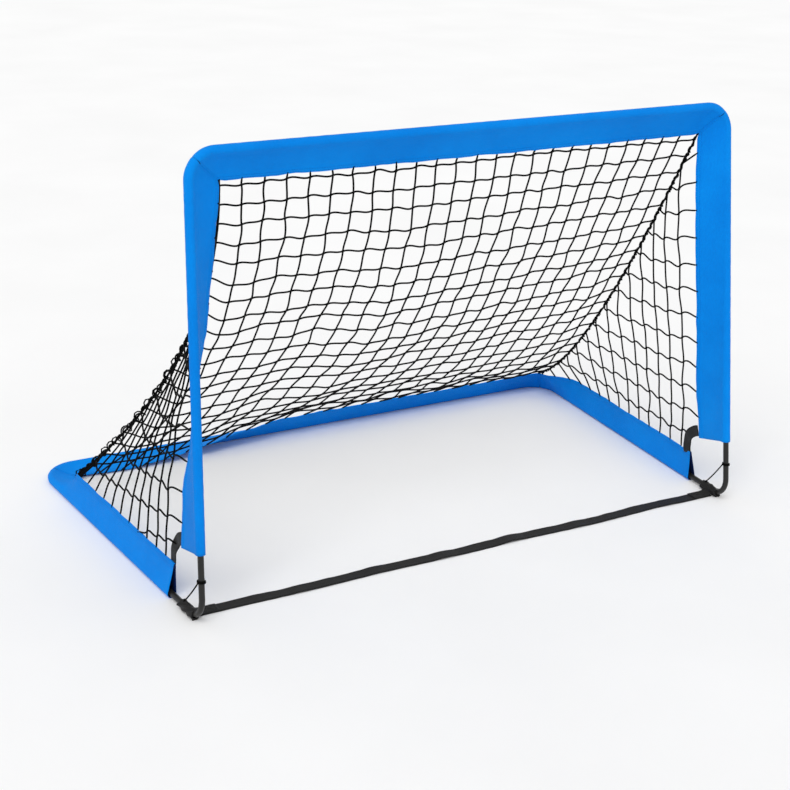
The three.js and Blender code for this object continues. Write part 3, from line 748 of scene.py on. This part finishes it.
SWAY, FLUTTER, SCALLOP = 0.0012, 0.0005, 0.0005  # the flap's ripples, broad and fine, and its edge's
CREASE = 0.014  # how deep the pocket's creases are, as a part of its radius
PINCH_ACROSS, PINCH_OUT = 0.10, 0.05  # how far a mitre's seam draws the pocket in
OPEN_RUN = 0.055  # how far a sleeve's open end stays flared
OPEN_POWER, OPEN_GAP = 1.15, 0.0010
FLAP_HALF = 0.0009
CALM_RUN = (0.03, 0.12)  # from a mitre, where the cloth starts to ripple
SEAM_DIP = 0.0012  # how broad a mitre's pinched seam is
STITCH_FROM_SEAM = 0.0032
INSIDE_STEP = 2  # the cloth's inside, painted dark as shade, has one row for this many of the skin's


def from_seam(skin, way, row):
    """How far each point of the skin is from the mitre at one of its end rows."""
    return np.abs(np.einsum("ijk,k->ij", skin - skin[row], way[row]))


def sleeve(name, stations, power, seed, is_open=False):
    """A sewn sleeve: a round pocket over the rod and a hemmed flap of two layers of cloth.

    It has a mitre at its end, and at its start unless that is open.
    """
    centre, edge, way = stations
    run, edge_run = run_of(centre), run_of(edge)
    spread = edge - centre
    across = unit(np.cross(way, spread))
    out = np.cross(across, way)
    reach = dot(spread, out)[:, 0]
    skew = dot(spread, way)[:, 0]
    closing = smoothstep(run, 0.0, OPEN_RUN) if is_open else np.ones(len(run))
    thin = FLAP_HALF + OPEN_GAP * (1 - closing)
    u, v = section(reach, lerp(OPEN_POWER, power, closing), thin[:, None])
    u_in, v_in = sleeve_shaded_inside(u, v, reach)

    def flap_share(u_ring):
        return np.clip((u_ring - POCKET_RADIUS) / (reach[:, None] - POCKET_RADIUS), 0, 1)

    mitres = (-1,) if is_open else (0, -1)
    calm = np.ones(len(run))
    for row in mitres:
        calm *= smoothstep(np.abs(run[row] - run), *CALM_RUN)
    sway = SWAY * ripple(run, seed, 0.09, 0.30) * calm
    flutter = FLUTTER * ripple(edge_run, seed + 1, 0.022, 0.060) * calm
    scallop = SCALLOP * ripple(edge_run, seed + 2, 0.04, 0.12) * calm

    def placed(u_ring, v_ring, share_ring, rows=slice(None)):
        shift = sway[rows, None] * share_ring**2 + flutter[rows, None] * share_ring**3
        u_used = u_ring + scallop[rows, None] * share_ring**3
        return (
            centre[rows, None]
            + out[rows, None] * u_used[..., None]
            + across[rows, None] * (v_ring + shift)[..., None]
            + way[rows, None] * (skew[rows, None] * share_ring)[..., None]
        )

    # The pocket's cloth is drawn into faint cross creases, and pinched at a mitre's seam.
    share = flap_share(u)
    angle = np.arctan2(v, u)
    creases = ripple(run[:, None] + 0.004 * np.sin(3 * angle + seed), seed + 3, 0.012, 0.045)
    swell = 1 + CREASE * creases * (share <= 0)
    u, v = u * swell, v * swell
    skin = placed(u, v, share)
    for row in mitres:
        dip = np.exp(-from_seam(skin, way, row) / SEAM_DIP)
        v = v * (1 - PINCH_ACROSS * dip)
        u = np.where(share <= 0, u * (1 - PINCH_OUT * dip), u)
    skin = placed(u, v, share)
    coarse = np.unique(np.append(np.arange(0, len(run), INSIDE_STEP), len(run) - 1))
    inside = placed(u_in[coarse], v_in[coarse], flap_share(u_in)[coarse], coarse)

    steps = np.linalg.norm(np.diff(skin, axis=1), axis=2)
    girth = np.hstack((np.zeros((len(run), 1)), np.cumsum(steps, 1)))
    rows = np.concatenate((skin, inside[::-1]))
    girths = np.concatenate((girth, girth[coarse][::-1], girth[:1]))
    runs = np.concatenate((run, run[coarse][::-1], run[:1]))
    uv = uv_of(runs, np.hstack((girths, girths[:, -1:] + 0.002)))
    # The inside rows take the dark navy cloth, which is painted shade.
    material = (np.arange(len(rows)) >= len(skin)).astype(int)
    body = Body()
    body.grid(rows, round_ring=True, round_rows=True, material=material, uv=uv)

    last = skin.shape[1] - 1
    for step in STITCHED_STEPS:
        column = len(HEM_STEPS) - 1 - step
        stitch_row(body, skin[:, column], across, 2)
        stitch_row(body, skin[:, last - column], -across, 2)
    for row in mitres:
        mitre_stitches(body, skin, across, way, row)
    made = body.made(f"{name}_cloth", (SLEEVE_CLOTH, SHADED_INSIDE_CLOTH, SEAM_THREAD))
    soft(made, f"{name}_sleeve")


def mitre_stitches(body, skin, across, way, row):
    """A row of stitches beside a mitre's seam, on both faces of the flap."""
    away = from_seam(skin, way, row)
    inward = np.arange(len(skin) // 2)
    rows = inward if row == 0 else len(skin) - 1 - inward
    columns = np.arange(2, FLAP_STEPS + len(HEM_STEPS) + 3)
    for face_columns, sign in ((columns, 1), (skin.shape[1] - 1 - columns, -1)):
        line = []
        for column in face_columns:
            index = int(np.argmax(away[rows, column] >= STITCH_FROM_SEAM))
            before, after = rows[max(index - 1, 0)], rows[index]
            a, b = away[before, column], away[after, column]
            part = 0.0 if b == a else (STITCH_FROM_SEAM - a) / (b - a)
            line.append(lerp(skin[before, column], skin[after, column], part))
        normals = np.tile(sign * across[row], (len(line), 1))
        stitch_row(body, np.array(line), normals, 2, 0.001)


def make_sleeves():
    sleeve("crossbar", joined(crossbar_half(LEFT), crossbar_half(RIGHT)), 3.5, 11)
    sleeve("rear", joined(rear_half(LEFT), rear_half(RIGHT)), 2.4, 23)
    for side in SIDES:
        name = SIDE_NAME[side]
        sleeve(f"{name}_upright", upright_stations(side), 3.5, 40 + side, is_open=True)
        sleeve(f"{name}_side", side_stations(side), 2.2, 60 + side, is_open=True)


# ---- Net ----

HEM_INSET = 0.004  # how far inside the hem a strand ends
STRAND_STEPS = 8  # between two knots
KNOT_SIZE = 0.0025

BACK_COLUMNS, BACK_ROWS = 24, 20
BACK_UNEVEN = 0.0016
PULL_COLUMNS = (0, 1, 3, 6, 9, 22, BACK_COLUMNS)  # where the back's sag is known
PULL_BACK = (CORD_PULL[LEFT][1], 0.320, 0.330, 0.280, 0.260, 0.444, CORD_PULL[RIGHT][1])
PULL_UP = (CORD_PULL[LEFT][2], 0.310, 0.310, 0.360, 0.300, 0.150, CORD_PULL[RIGHT][2])
PULL_RIGHT = (0.105, 0.042)  # from a column's top, at the left cord and at the right

SIDE_COLUMNS, SIDE_ROWS = 14, 12
FIRST_COLUMN, COLUMN_STEP = 0.122, 0.041  # behind the front corners
FIRST_ROW, ROW_STEP = 0.727, 0.0575  # up the upright
CORD_ROW, CORD_ROW_STEP = 0.078, {LEFT: 0.079, RIGHT: 0.0675}  # down the cord
ROW_CLEAR = 0.012  # a row that comes nearer to the side's flap goes into its hem
ROW_SAG, SIDE_UNEVEN = 0.010, 0.0022
SIDE_FOLD = {LEFT: 1.35, RIGHT: 1.0}  # how crumpled the net is
ROW_LEAN, COLUMN_LEAN = 0.047, 0.05

CORD_SIZE = {LEFT: EDGE_CORD * 0.86, RIGHT: EDGE_CORD * 0.70}
CORD_GATHER = {LEFT: 0.75, RIGHT: 0.0}  # how much thicker it gets at the rear corner
LACING_START = {LEFT: 0.35, RIGHT: 0.005}
LACING_SWING = {LEFT: 0.0062, RIGHT: 0.0}
LACINGS = ((0.0, 0.022), (2.1, 0.031))  # each one's phase and pitch


class Line:
    """A quadratic curve that is read by its length."""

    def __init__(self, start, pull, end):
        self.fine = bezier(start, pull, end, np.linspace(0, 1, 257))
        self.run = run_of(self.fine)
        self.length = self.run[-1]

    def at(self, places):
        return sample(self.fine, self.run, places)

    def tails(self, reach):
        """Two points past the line's ends, straight on from it."""
        first, second, before, last = self.at([0, reach, self.length - reach, self.length])
        return first - unit(second - first) * HEM_INSET, last + unit(last - before) * HEM_INSET


def edge_line(side):
    pull = FRONT_CENTRE + CORD_PULL[side] * vec(side, 1, 1)
    return Line(top_inner_corner(side), pull, rear_inner_corner(side))


def chain(points, lean):
    """A smooth strand through knots, with its direction at each knot turned by lean."""
    slope = unit(np.gradient(points, axis=0) + lean)
    t = np.linspace(0, 1, STRAND_STEPS, endpoint=False)[:, None]
    pieces = []
    for a, b, slope_a, slope_b in zip(points, points[1:], slope, slope[1:]):
        size = np.linalg.norm(b - a)
        pieces.append(
            (2 * t**3 - 3 * t**2 + 1) * a + (t**3 - 2 * t**2 + t) * (slope_a * size)
            + (3 * t**2 - 2 * t**3) * b + (t**3 - t**2) * (slope_b * size)
        )
    return np.vstack((*pieces, points[-1:]))


def strand(body, path, beside, taper=(True, True)):
    """A length of twine, drawn thinner where it goes into a hem."""
    run = run_of(path)
    radius = np.full(len(path), TWINE)
    for is_tapered, away in zip(taper, (run, run[-1] - run)):
        if is_tapered:
            radius = radius * lerp(0.55, 1, smoothstep(away, 0, 2 * HEM_INSET))
    body.tube(path, radius, 7, beside)


def knots(body, places, first, second, seed, size=KNOT_SIZE):
    """A knot at each crossing, its axes along the two strands, each a little different."""
    draw = np.random.default_rng(seed)
    count = len(places)
    turn = draw.normal(0, 0.45, count)[:, None]
    a, b = unit(first), unit(second)
    normal = unit(np.cross(a, b))
    b = np.cross(normal, a)
    x = a * np.cos(turn) + b * np.sin(turn)
    y = b * np.cos(turn) - a * np.sin(turn)
    scale = size * draw.uniform(0.85, 1.2, (count, 3))
    turns = np.stack((x * scale[:, :1] * 1.25, normal * scale[:, 1:2], y * scale[:, 2:] * 1.05), 1)
    body.copies(KNOT, places, turns)


def back_column(part):
    """The line that one column of the back hangs on; part is 0 at the left cord, 1 at the right."""
    x_top, x_rear = (
        lerp(corner(LEFT)[0], corner(RIGHT)[0], part) for corner in (top_inner_corner, rear_inner_corner)
    )
    top = vec(x_top, *top_inner_corner(RIGHT)[1:])
    side = RIGHT if x_rear >= 0 else LEFT
    rear = vec(x_rear, REAR_Y, ROD_Z) + rear_reach(np.array([x_rear]), side)[0]
    back, up = (np.interp(part * BACK_COLUMNS, PULL_COLUMNS, known) for known in (PULL_BACK, PULL_UP))
    pull = FRONT_CENTRE + vec(x_top + lerp(*PULL_RIGHT, part), back, up)
    return Line(top, pull, rear)


def back_net():
    draw = np.random.default_rng(7)
    lines = [back_column(column / BACK_COLUMNS) for column in range(1, BACK_COLUMNS)]
    lines = [edge_line(LEFT), *lines, edge_line(RIGHT)]
    parts = (np.arange(BACK_ROWS) + 0.25) / (BACK_ROWS + 0.4)
    knot = np.stack([line.at(parts * line.length) for line in lines], 1)
    uneven = draw.normal(0, BACK_UNEVEN, knot.shape)
    uneven += draw.normal(0, BACK_UNEVEN, (BACK_ROWS, 1, 3)) * (0, 0.4, 1)
    uneven[:, [0, -1]] *= 0.2
    knot = knot + uneven
    down = np.gradient(knot, axis=0)
    body = Body()
    for row in range(BACK_ROWS):
        sway = -draw.uniform(0.3, 0.6, (BACK_COLUMNS + 1, 1))
        strand(body, chain(knot[row], down[row] * sway), vec(0, 0.5, 1), taper=(False, False))
    across = np.gradient(knot, axis=1)
    for column in range(1, BACK_COLUMNS):
        above, below = lines[column].tails(0.02)
        lean = np.zeros((BACK_ROWS + 2, 3))
        lean[1:-1] = across[:, column] * draw.normal(0, 0.09, (BACK_ROWS, 1))
        path = chain(np.vstack((above, knot[:, column], below)), lean)
        strand(body, path, vec(1, 0, 0))
    inner = [values[:, 1:-1].reshape(-1, 3) for values in (knot, across, down)]
    knots(body, *inner, 8)
    soft(body.made("back_netting", (NET_TWINE,)), "back_net")


def side_row_ends(side, cord):
    """Where each row of a side panel starts, on the upright's flap or the webbing, and ends."""
    rows = np.arange(SIDE_ROWS)
    _, upright_edge, _ = upright_stations(side)
    starts = crossing(upright_edge, 2, ROD_Z + FIRST_ROW - ROW_STEP * rows)
    webbing = webbing_points(side)
    starts[-1] = webbing[len(webbing) // 2]
    return starts, cord.at(CORD_ROW + CORD_ROW_STEP[side] * rows)


def side_net(side):
    draw = np.random.default_rng(30 + side)
    cord = edge_line(side)
    side_root, side_edge, _ = side_stations(side)
    body = Body()

    # Each row runs from the upright's flap back to the cord, or into the side's flap.
    columns = FRONT_Y + FIRST_COLUMN + COLUMN_STEP * np.arange(1, SIDE_COLUMNS + 1)
    heads, feet, roots = (crossing(line, 1, columns) for line in (cord.fine, side_edge, side_root))
    hems = feet + unit(roots - feet) * HEM_INSET
    crossings = [[] for _ in columns]
    for row, (start, end) in enumerate(zip(*side_row_ends(side, cord))):
        places = [start + unit(start - end) * HEM_INSET]
        last = end
        for y, head, foot, hem, column in zip(columns, heads, feet, hems, crossings):
            part = (y - start[1]) / (end[1] - start[1])
            if 0.12 / (row + 2) < part < 1 - 0.25 / (row + 3):
                point = lerp(start, end, part)
                point[2] -= ROW_SAG * 4 * part * (1 - part)
                point += draw.normal(0, SIDE_UNEVEN, 3) * (0.7, 1, 1)
                low = np.clip((head[2] - point[2]) / (head[2] - foot[2]), 0, 1)
                point[0] = lerp(point[0], foot[0], low**2)
                if point[2] < foot[2] + ROW_CLEAR:
                    last = hem
                    break
                places.append(point)
                column.append(point)
        places = np.array([*places, last])
        if len(places) > 2:
            lean = np.zeros_like(places)
            crumple = draw.uniform(0.6, 1.1, len(places) - 2) * SIDE_FOLD[side]
            lean[1:-1, 2] = -ROW_LEAN * crumple
            path = chain(places, lean)
        else:
            path = lerp(places[0], places[1], np.linspace(0, 1, 6)[:, None])
        strand(body, path, vec(0, 0.3, 1), taper=(True, False))

    # Each column hangs from the cord down to the side's flap.
    found, ways = [], []
    for head, hem, points in zip(heads, hems, crossings):
        places = np.array([head, *points, hem])
        lean = np.zeros_like(places)
        lean[1:-1, 1] = COLUMN_LEAN * draw.normal(0, 0.16, len(points)) * SIDE_FOLD[side]
        strand(body, chain(places, lean), vec(1, 0, 0), taper=(False, True))
        found += points
        ways += [unit(places[-1] - places[0])] * len(points)
    along = np.tile(vec(0, 1, -0.1), (len(found), 1))
    knots(body, np.array(found), along, np.array(ways), 50 + side)
    name = SIDE_NAME[side]
    soft(body.made(f"{name}_side_netting", (NET_TWINE,)), f"{name}_side_net")


def rope_lay(pitch, depth):
    """How a rope of three strands stands out and in round its axis."""
    def lay(run, angle):
        return 1 + depth * np.abs(np.cos(1.5 * (angle - 2 * math.pi * run / pitch)))
    return lay


def edge_cord(side):
    """The heavier strand between the back and the side, with the net laced round it."""
    line = edge_line(side)
    run = np.arange(-HEM_INSET, line.length + HEM_INSET, 0.0028)
    path = line.at(run)
    path[0], path[-1] = line.tails(0.01)
    gather = CORD_GATHER[side] * smoothstep(run, line.length - 0.10, line.length - 0.01)
    radius = CORD_SIZE[side] * (1 + gather) * (1 + 0.05 * ripple(run, 70 + side, 0.01, 0.05))
    body = Body()
    body.tube(path, radius, 12, vec(1, 0, 0), lay=rope_lay(0.020, 0.16))

    way = unit(np.gradient(path, axis=0))
    first = unit(np.cross(way, vec(1, 0, 0)))
    second = np.cross(first, way)
    swing = LACING_SWING[side] * smoothstep(run, 0.35, 0.55)
    near_end = np.minimum(run + 0.01, line.length - run + 0.01)
    shown = run > LACING_START[side]
    for phase, pitch in LACINGS:
        angle = 2 * math.pi * (run / pitch) + phase + 0.7 * ripple(run, 80 + side, 0.03, 0.12)
        loose = (0.5 + 0.5 * np.sin(2 * math.pi * run / (pitch * 2.3) + phase)) ** 2
        away = (radius + TWINE * 0.5 + swing * loose) * np.minimum(1, near_end / 0.03 + 0.25)
        lacing = path + first * (np.cos(angle) * away)[:, None] + second * (np.sin(angle) * away)[:, None]
        body.tube(lacing[shown][:-3], TWINE * 0.9, 6, vec(1, 0, 0))
    name = SIDE_NAME[side]
    soft(body.made(f"{name}_edge_rope", (CORD_TWINE,)), f"{name}_net_edge_cord")


# ---- Webbing, strap, loops and corner cords ----


BAND_EDGES = (1, 11, 14, 24)  # the columns of a band that its stitches lie on


def band(body, path, beside, width, thickness):
    """Flat woven webbing along a path: crowned, with a thicker edge on each side."""
    run = run_of(path)
    way = unit(np.gradient(path, axis=0))
    beside = unit(beside - dot(beside, way) * way)
    normal = np.cross(way, beside)
    w = np.linspace(-1, 1, 13)
    half = thickness / 2 * (0.80 + 0.20 * np.cos(w * math.pi * 4) ** 2 + 0.12 * (np.abs(w) > 0.8))
    half[[0, -1]] *= 0.45
    ring_w = np.concatenate((w, w[::-1]))
    ring_h = np.concatenate((-half, half[::-1]))
    uneven = 1 + 0.02 * ripple(run, 5, 0.02, 0.08)
    points = (
        path[:, None]
        + beside[:, None] * (ring_w * width / 2)[None, :, None] * uneven[:, None, None]
        + normal[:, None] * ring_h[None, :, None]
    )
    body.ringed(points, uv_of(run, np.concatenate((ring_w, ring_w[:1])) * width / 2))
    return points


def webbing_points(side, beyond=0.0):
    """The middle of the corner band, from the upright's flap to the side's flap."""
    flip = vec(side, 1, 1)
    _, upright_edge, _ = upright_stations(RIGHT)
    _, side_edge, _ = side_stations(RIGHT)
    start, end = upright_edge[0] * flip, side_edge[0] * flip
    chord = unit(end - start)
    back = unit(vec(0, 1, 0) - chord[1] * chord)
    offset = 0.0012 + WEBBING_WIDTH / 2
    pull = lerp(start, end, 0.5) + back * (offset + 2 * WEBBING_BULGE)
    first = start + back * (offset - 0.6 * beyond) + vec(0, 0, beyond)
    last = end + back * offset - vec(0, 0, beyond)
    return bezier(first, pull, last, np.linspace(0, 1, 25))


BAND_BEYOND = 0.012  # how far a corner band's ends go on under the flaps
BUCKLE, BUCKLE_LENGTH = 0.0012, 0.045


def corner_webbing(side):
    path = webbing_points(side, BAND_BEYOND)
    normal = vec(side, 0, 0)
    beside = np.cross(unit(np.gradient(path, axis=0)), normal)
    run = run_of(path)
    buckle = BUCKLE * np.sin(math.pi * run / run[-1]) * np.sin(2 * math.pi * run / BUCKLE_LENGTH)
    path = path + normal * buckle[:, None]
    body = Body()
    points = band(body, path, beside, WEBBING_WIDTH, WEBBING_THICKNESS)
    for column in BAND_EDGES:
        outward = normal * np.sign(dot(points[:, column] - path, normal))
        stitch_row(body, points[:, column], outward, 1)
    name = SIDE_NAME[side]
    soft(body.made(f"{name}_corner_band", (WEBBING, WEBBING_THREAD)), f"{name}_corner_webbing")


def box_stitching(body, low, high, z):
    """A stitched box with a cross in it, on a level face."""
    corners = [vec(x, y, z) for x, y in ((low[0], low[1]), (high[0], low[1]), high, (low[0], high[1]))]
    for a, b in ((0, 1), (1, 2), (2, 3), (3, 0), (0, 2), (1, 3)):
        line = lerp(corners[a], corners[b], np.linspace(0, 1, 12)[:, None])
        stitch_row(body, line, np.tile(vec(0, 0, 1), (12, 1)), 1, 0.0004)


STRAP_RISE, STRAP_WANDER, STRAP_TWIST = 0.0016, 0.0016, 0.045


def ground_strap():
    x = np.linspace(-STRAP_HALF, STRAP_HALF, 241)
    calm = smoothstep(STRAP_HALF - np.abs(x), 0.05, 0.16)
    rise = STRAP_RISE * np.maximum(ripple(x, 90, 0.08, 0.34), 0) * calm
    wander = STRAP_WANDER * ripple(x, 91, 0.25, 0.7) * calm
    path = np.stack((x, FRONT_Y + STRAP_BACK + wander, STRAP_THICKNESS * 0.62 + rise), -1)
    body = Body()
    tilt = STRAP_TWIST * ripple(x, 92, 0.12, 0.4) * calm
    beside = np.stack((np.zeros_like(x), np.cos(tilt), np.maximum(np.sin(tilt), -0.02)), -1)
    points = band(body, path, beside, STRAP_WIDTH, STRAP_THICKNESS)
    for column in BAND_EDGES:
        over = points[:, column]
        if over[:, 2].mean() > path[:, 2].mean():
            stitch_row(body, over, np.tile(vec(0, 0, 1), (len(x), 1)), 1)
    on_base(body.made("ground_webbing", (WEBBING, WEBBING_THREAD)), "ground_strap")


GATHERS, GATHER_HEIGHT = 7, 0.0013
WRAP_RADIUS, WRAP_LEAST, WRAP_LIP = 0.0089, 0.0072, 0.0006
GROUND_GAP = 0.0004


def strap_loop(side):
    """The strap's end: wrapped round the rod, gathered, and sewn back on the strap."""
    front, rear = front_corner(side), rear_corner(side)
    way = unit(rear - front)
    s = np.linspace(LOOP_START, LOOP_END, 46)
    sides = 44
    angle = np.arange(sides) * 2 * math.pi / sides
    outward = unit(np.cross(way, vec(0, 0, side)))
    gathers = np.zeros((len(s), sides))
    draw = np.random.default_rng(100 + side)
    for _ in range(GATHERS):
        wave_count = draw.integers(2, 7)
        length = draw.uniform(0.012, 0.05)
        gathers += np.sin(wave_count * angle + 2 * math.pi * s[:, None] / length + draw.uniform(0, 6.3))
    radius = np.maximum(WRAP_RADIUS + GATHER_HEIGHT * gathers / math.sqrt(GATHERS), WRAP_LEAST)
    radius = radius + WRAP_LIP * (np.exp(-(s - s[0]) / 0.002) + np.exp(-(s[-1] - s) / 0.002))[:, None]
    reach = np.concatenate((radius, np.full_like(radius, ROD_RADIUS + 0.0002)))
    along = np.concatenate((s, s[::-1]))
    rows = (front + way * along[:, None])[:, None] + outward * (np.cos(angle) * reach)[..., None]
    rows[..., 2] = np.maximum(rows[..., 2] + np.sin(angle) * reach, GROUND_GAP)
    rows = rows[::-1, ::-side]
    uv = uv_of(np.linspace(0, 0.1, len(rows) + 1), np.linspace(0, 0.05, sides + 1))
    body = Body()
    body.grid(rows, round_ring=True, round_rows=True, uv=uv)

    # The tail lies on the strap, from under the rod inward.
    x_rod = front[0] + way[0] * STRAP_BACK
    tail = np.linspace(0.0, 0.050, 22)
    lift = STRAP_THICKNESS * 1.75 + 0.0046 * (1 - smoothstep(tail, 0, 0.016))
    path = np.stack((x_rod - side * (0.004 + tail), np.full_like(tail, FRONT_Y + STRAP_BACK), lift), -1)
    band(body, path, np.tile(vec(0, 1, 0), (len(tail), 1)), STRAP_WIDTH, STRAP_THICKNESS)
    x_low, x_high = sorted((path[9, 0], path[19, 0]))
    y_low, y_high = (FRONT_Y + STRAP_BACK + end * (STRAP_WIDTH / 2 - 0.004) for end in (-1, 1))
    box_stitching(body, (x_low, y_low), (x_high, y_high), lift[-1] + STRAP_THICKNESS / 2)
    name = SIDE_NAME[side]
    on_base(body.made(f"{name}_strap_wrap", (WEBBING, WEBBING_THREAD)), f"{name}_strap_loop")


CORNER_CORD_FOOT, CORNER_CORD_HEAD = 0.072, 0.0766  # from the front corner, back and up


def corner_cord(side):
    """The thin cord from the strap's loop up to the upright, with a turn and a knot at each end."""
    front, rear, top = front_corner(side), rear_corner(side), top_corner(side)
    foot = front + unit(rear - front) * CORNER_CORD_FOOT + vec(0, 0, LOOP_RADIUS + 0.002)
    up = unit(top - front)
    head = front + up * CORNER_CORD_HEAD + vec(0, ROD_RADIUS + 0.002, 0)
    body = Body()
    t = np.linspace(0, 1, 60)
    slack = vec(0, 0.2, -1) * 0.003
    line = lerp(foot, head, t[:, None]) + slack * (4 * t * (1 - t))[:, None]
    body.tube(line, CORNER_CORD * 0.84, 9, vec(1, 0, 0), lay=rope_lay(0.009, 0.18))
    turn = np.linspace(0, 2 * math.pi * 2.2, 70)[:, None]
    ring = ROD_RADIUS + CORNER_CORD * 0.9
    across = vec(1, 0, 0)
    back = unit(np.cross(across, up))
    height = CORNER_CORD_HEAD - 0.002 + 0.0013 * turn / math.pi
    wound = front + up * height + (across * np.sin(turn) - back * np.cos(turn)) * ring
    body.tube(wound, CORNER_CORD * 0.8, 8, up, lay=rope_lay(0.009, 0.15))
    places = np.array((foot + vec(0, 0, -0.0006), head + vec(0, 0.0006, 0)))
    knots(body, places, np.tile(vec(1, 0.2, 0), (2, 1)), np.tile(up, (2, 1)), 110 + side, 0.0029)
    name = SIDE_NAME[side]
    soft(body.made(f"{name}_corner_tie", (CORD_TWINE,)), f"{name}_corner_cord")


# ---- The bare front bends ----


BEND_SIDES = 24


def front_bend(side):
    """The rod's bare corner; on the real rod, its arc takes the fold's bending."""
    front, rear, top = front_corner(side), rear_corner(side), top_corner(side)
    leg = Leg(front + unit(rear - front) * FRONT_LEG_BACK, front, top, FRONT_BEND)
    end = leg.whole + FRONT_LEG_UP - (leg.length - leg.straight)
    s = np.concatenate((
        np.linspace(0, leg.straight, 40, endpoint=False),
        np.linspace(leg.straight, leg.whole, 48, endpoint=False),
        np.linspace(leg.whole, end, 40),
    ))
    path, _ = leg.at(s)
    body = Body()
    radius = ROD_RADIUS * (1 + 0.004 * ripple(s, 120 + side, 0.01, 0.06))
    body.tube(path, radius, BEND_SIDES, vec(1, 0, 0))
    share = np.clip((s - leg.straight) / (leg.whole - leg.straight), 0, 1)
    name = SIDE_NAME[side]
    made = body.made(f"{name}_bare_bend", (ROD,))
    soft(made, f"{name}_front_bend", share=np.repeat(share, BEND_SIDES))


# ---- Everything ----

make_sleeves()
back_net()
for each_side in SIDES:
    side_net(each_side)
    edge_cord(each_side)
    corner_webbing(each_side)
    strap_loop(each_side)
    corner_cord(each_side)
    front_bend(each_side)
ground_strap()

for name, cad_object in frame["nodes"].items():
    cad_object.data.materials.clear()
    cad_object.data.materials.append(STEEL if name.endswith("ferrule") else ROD)

# ---- Camera, floor and light ----

CAMERA_PLACE = (-1.543, -2.6795, 1.403)
CAMERA_AZIMUTH, CAMERA_RISE, CAMERA_ROLL = (math.radians(a) for a in (-29.96, 21.12, 1.77))
LENS = 71.77215  # in mm, for a sensor 36 mm wide


def camera_matrix():
    sin_a, cos_a = math.sin(CAMERA_AZIMUTH), math.cos(CAMERA_AZIMUTH)
    sin_e, cos_e = math.sin(CAMERA_RISE), math.cos(CAMERA_RISE)
    back = vec(sin_a * cos_e, -cos_a * cos_e, sin_e)
    right = unit(np.cross(-back, vec(0, 0, 1)))
    up = np.cross(right, -back)
    c, s = math.cos(CAMERA_ROLL), math.sin(CAMERA_ROLL)
    right, up = c * right + s * up, c * up - s * right
    rows = np.stack((right, up, back, CAMERA_PLACE), 1)
    return Matrix([*rows.tolist(), [0, 0, 0, 1]])


camera = bpy.data.objects.new("camera", bpy.data.cameras.new("camera"))
camera.data.lens = LENS
camera.data.clip_end = 100
bpy.context.scene.collection.objects.link(camera)
camera.matrix_world = camera_matrix()
bpy.context.scene.camera = camera

FLOOR_HALF = 14.0
floor_body = Body()
floor_body.grid(np.array([[(x, y, 0) for x in (-1, 1)] for y in (-1, 1)]) * FLOOR_HALF)
floor = floor_body.made("floor", (floor_finish("floor_paper"),), smooth=False)
floor.location.z = -0.0004

# The camera sees a white backdrop, while the light that it gives stays soft.
SKY_LIGHT, SKY_SEEN = 0.72, 0.99
world = bpy.data.worlds.new("studio")
world.use_nodes = True
sky_nodes, sky_links = world.node_tree.nodes, world.node_tree.links
backdrop = sky_nodes["Background"]
backdrop.inputs["Color"].default_value = (1, 1, 1, 1)
paths = sky_nodes.new("ShaderNodeLightPath")
seen = sky_nodes.new("ShaderNodeMapRange")
seen.inputs["To Min"].default_value = SKY_LIGHT
seen.inputs["To Max"].default_value = SKY_SEEN
sky_links.new(paths.outputs["Is Camera Ray"], seen.inputs["Value"])
sky_links.new(seen.outputs[0], backdrop.inputs["Strength"])
bpy.context.scene.world = world

key_light = bpy.data.lights.new("key", "SUN")
key_light.energy = 1.25
key_light.angle = math.radians(40)
key_lamp = bpy.data.objects.new("key", key_light)
key_back = unit(vec(-0.75, -0.9, 1.5))
key_right = unit(np.cross(vec(0, 0, 1), key_back))
key_rows = np.stack((key_right, np.cross(key_back, key_right), key_back), 1)
key_lamp.matrix_world = Matrix(key_rows.tolist()).to_4x4()
bpy.context.scene.collection.objects.link(key_lamp)

bpy.context.scene.view_settings.view_transform = "Standard"
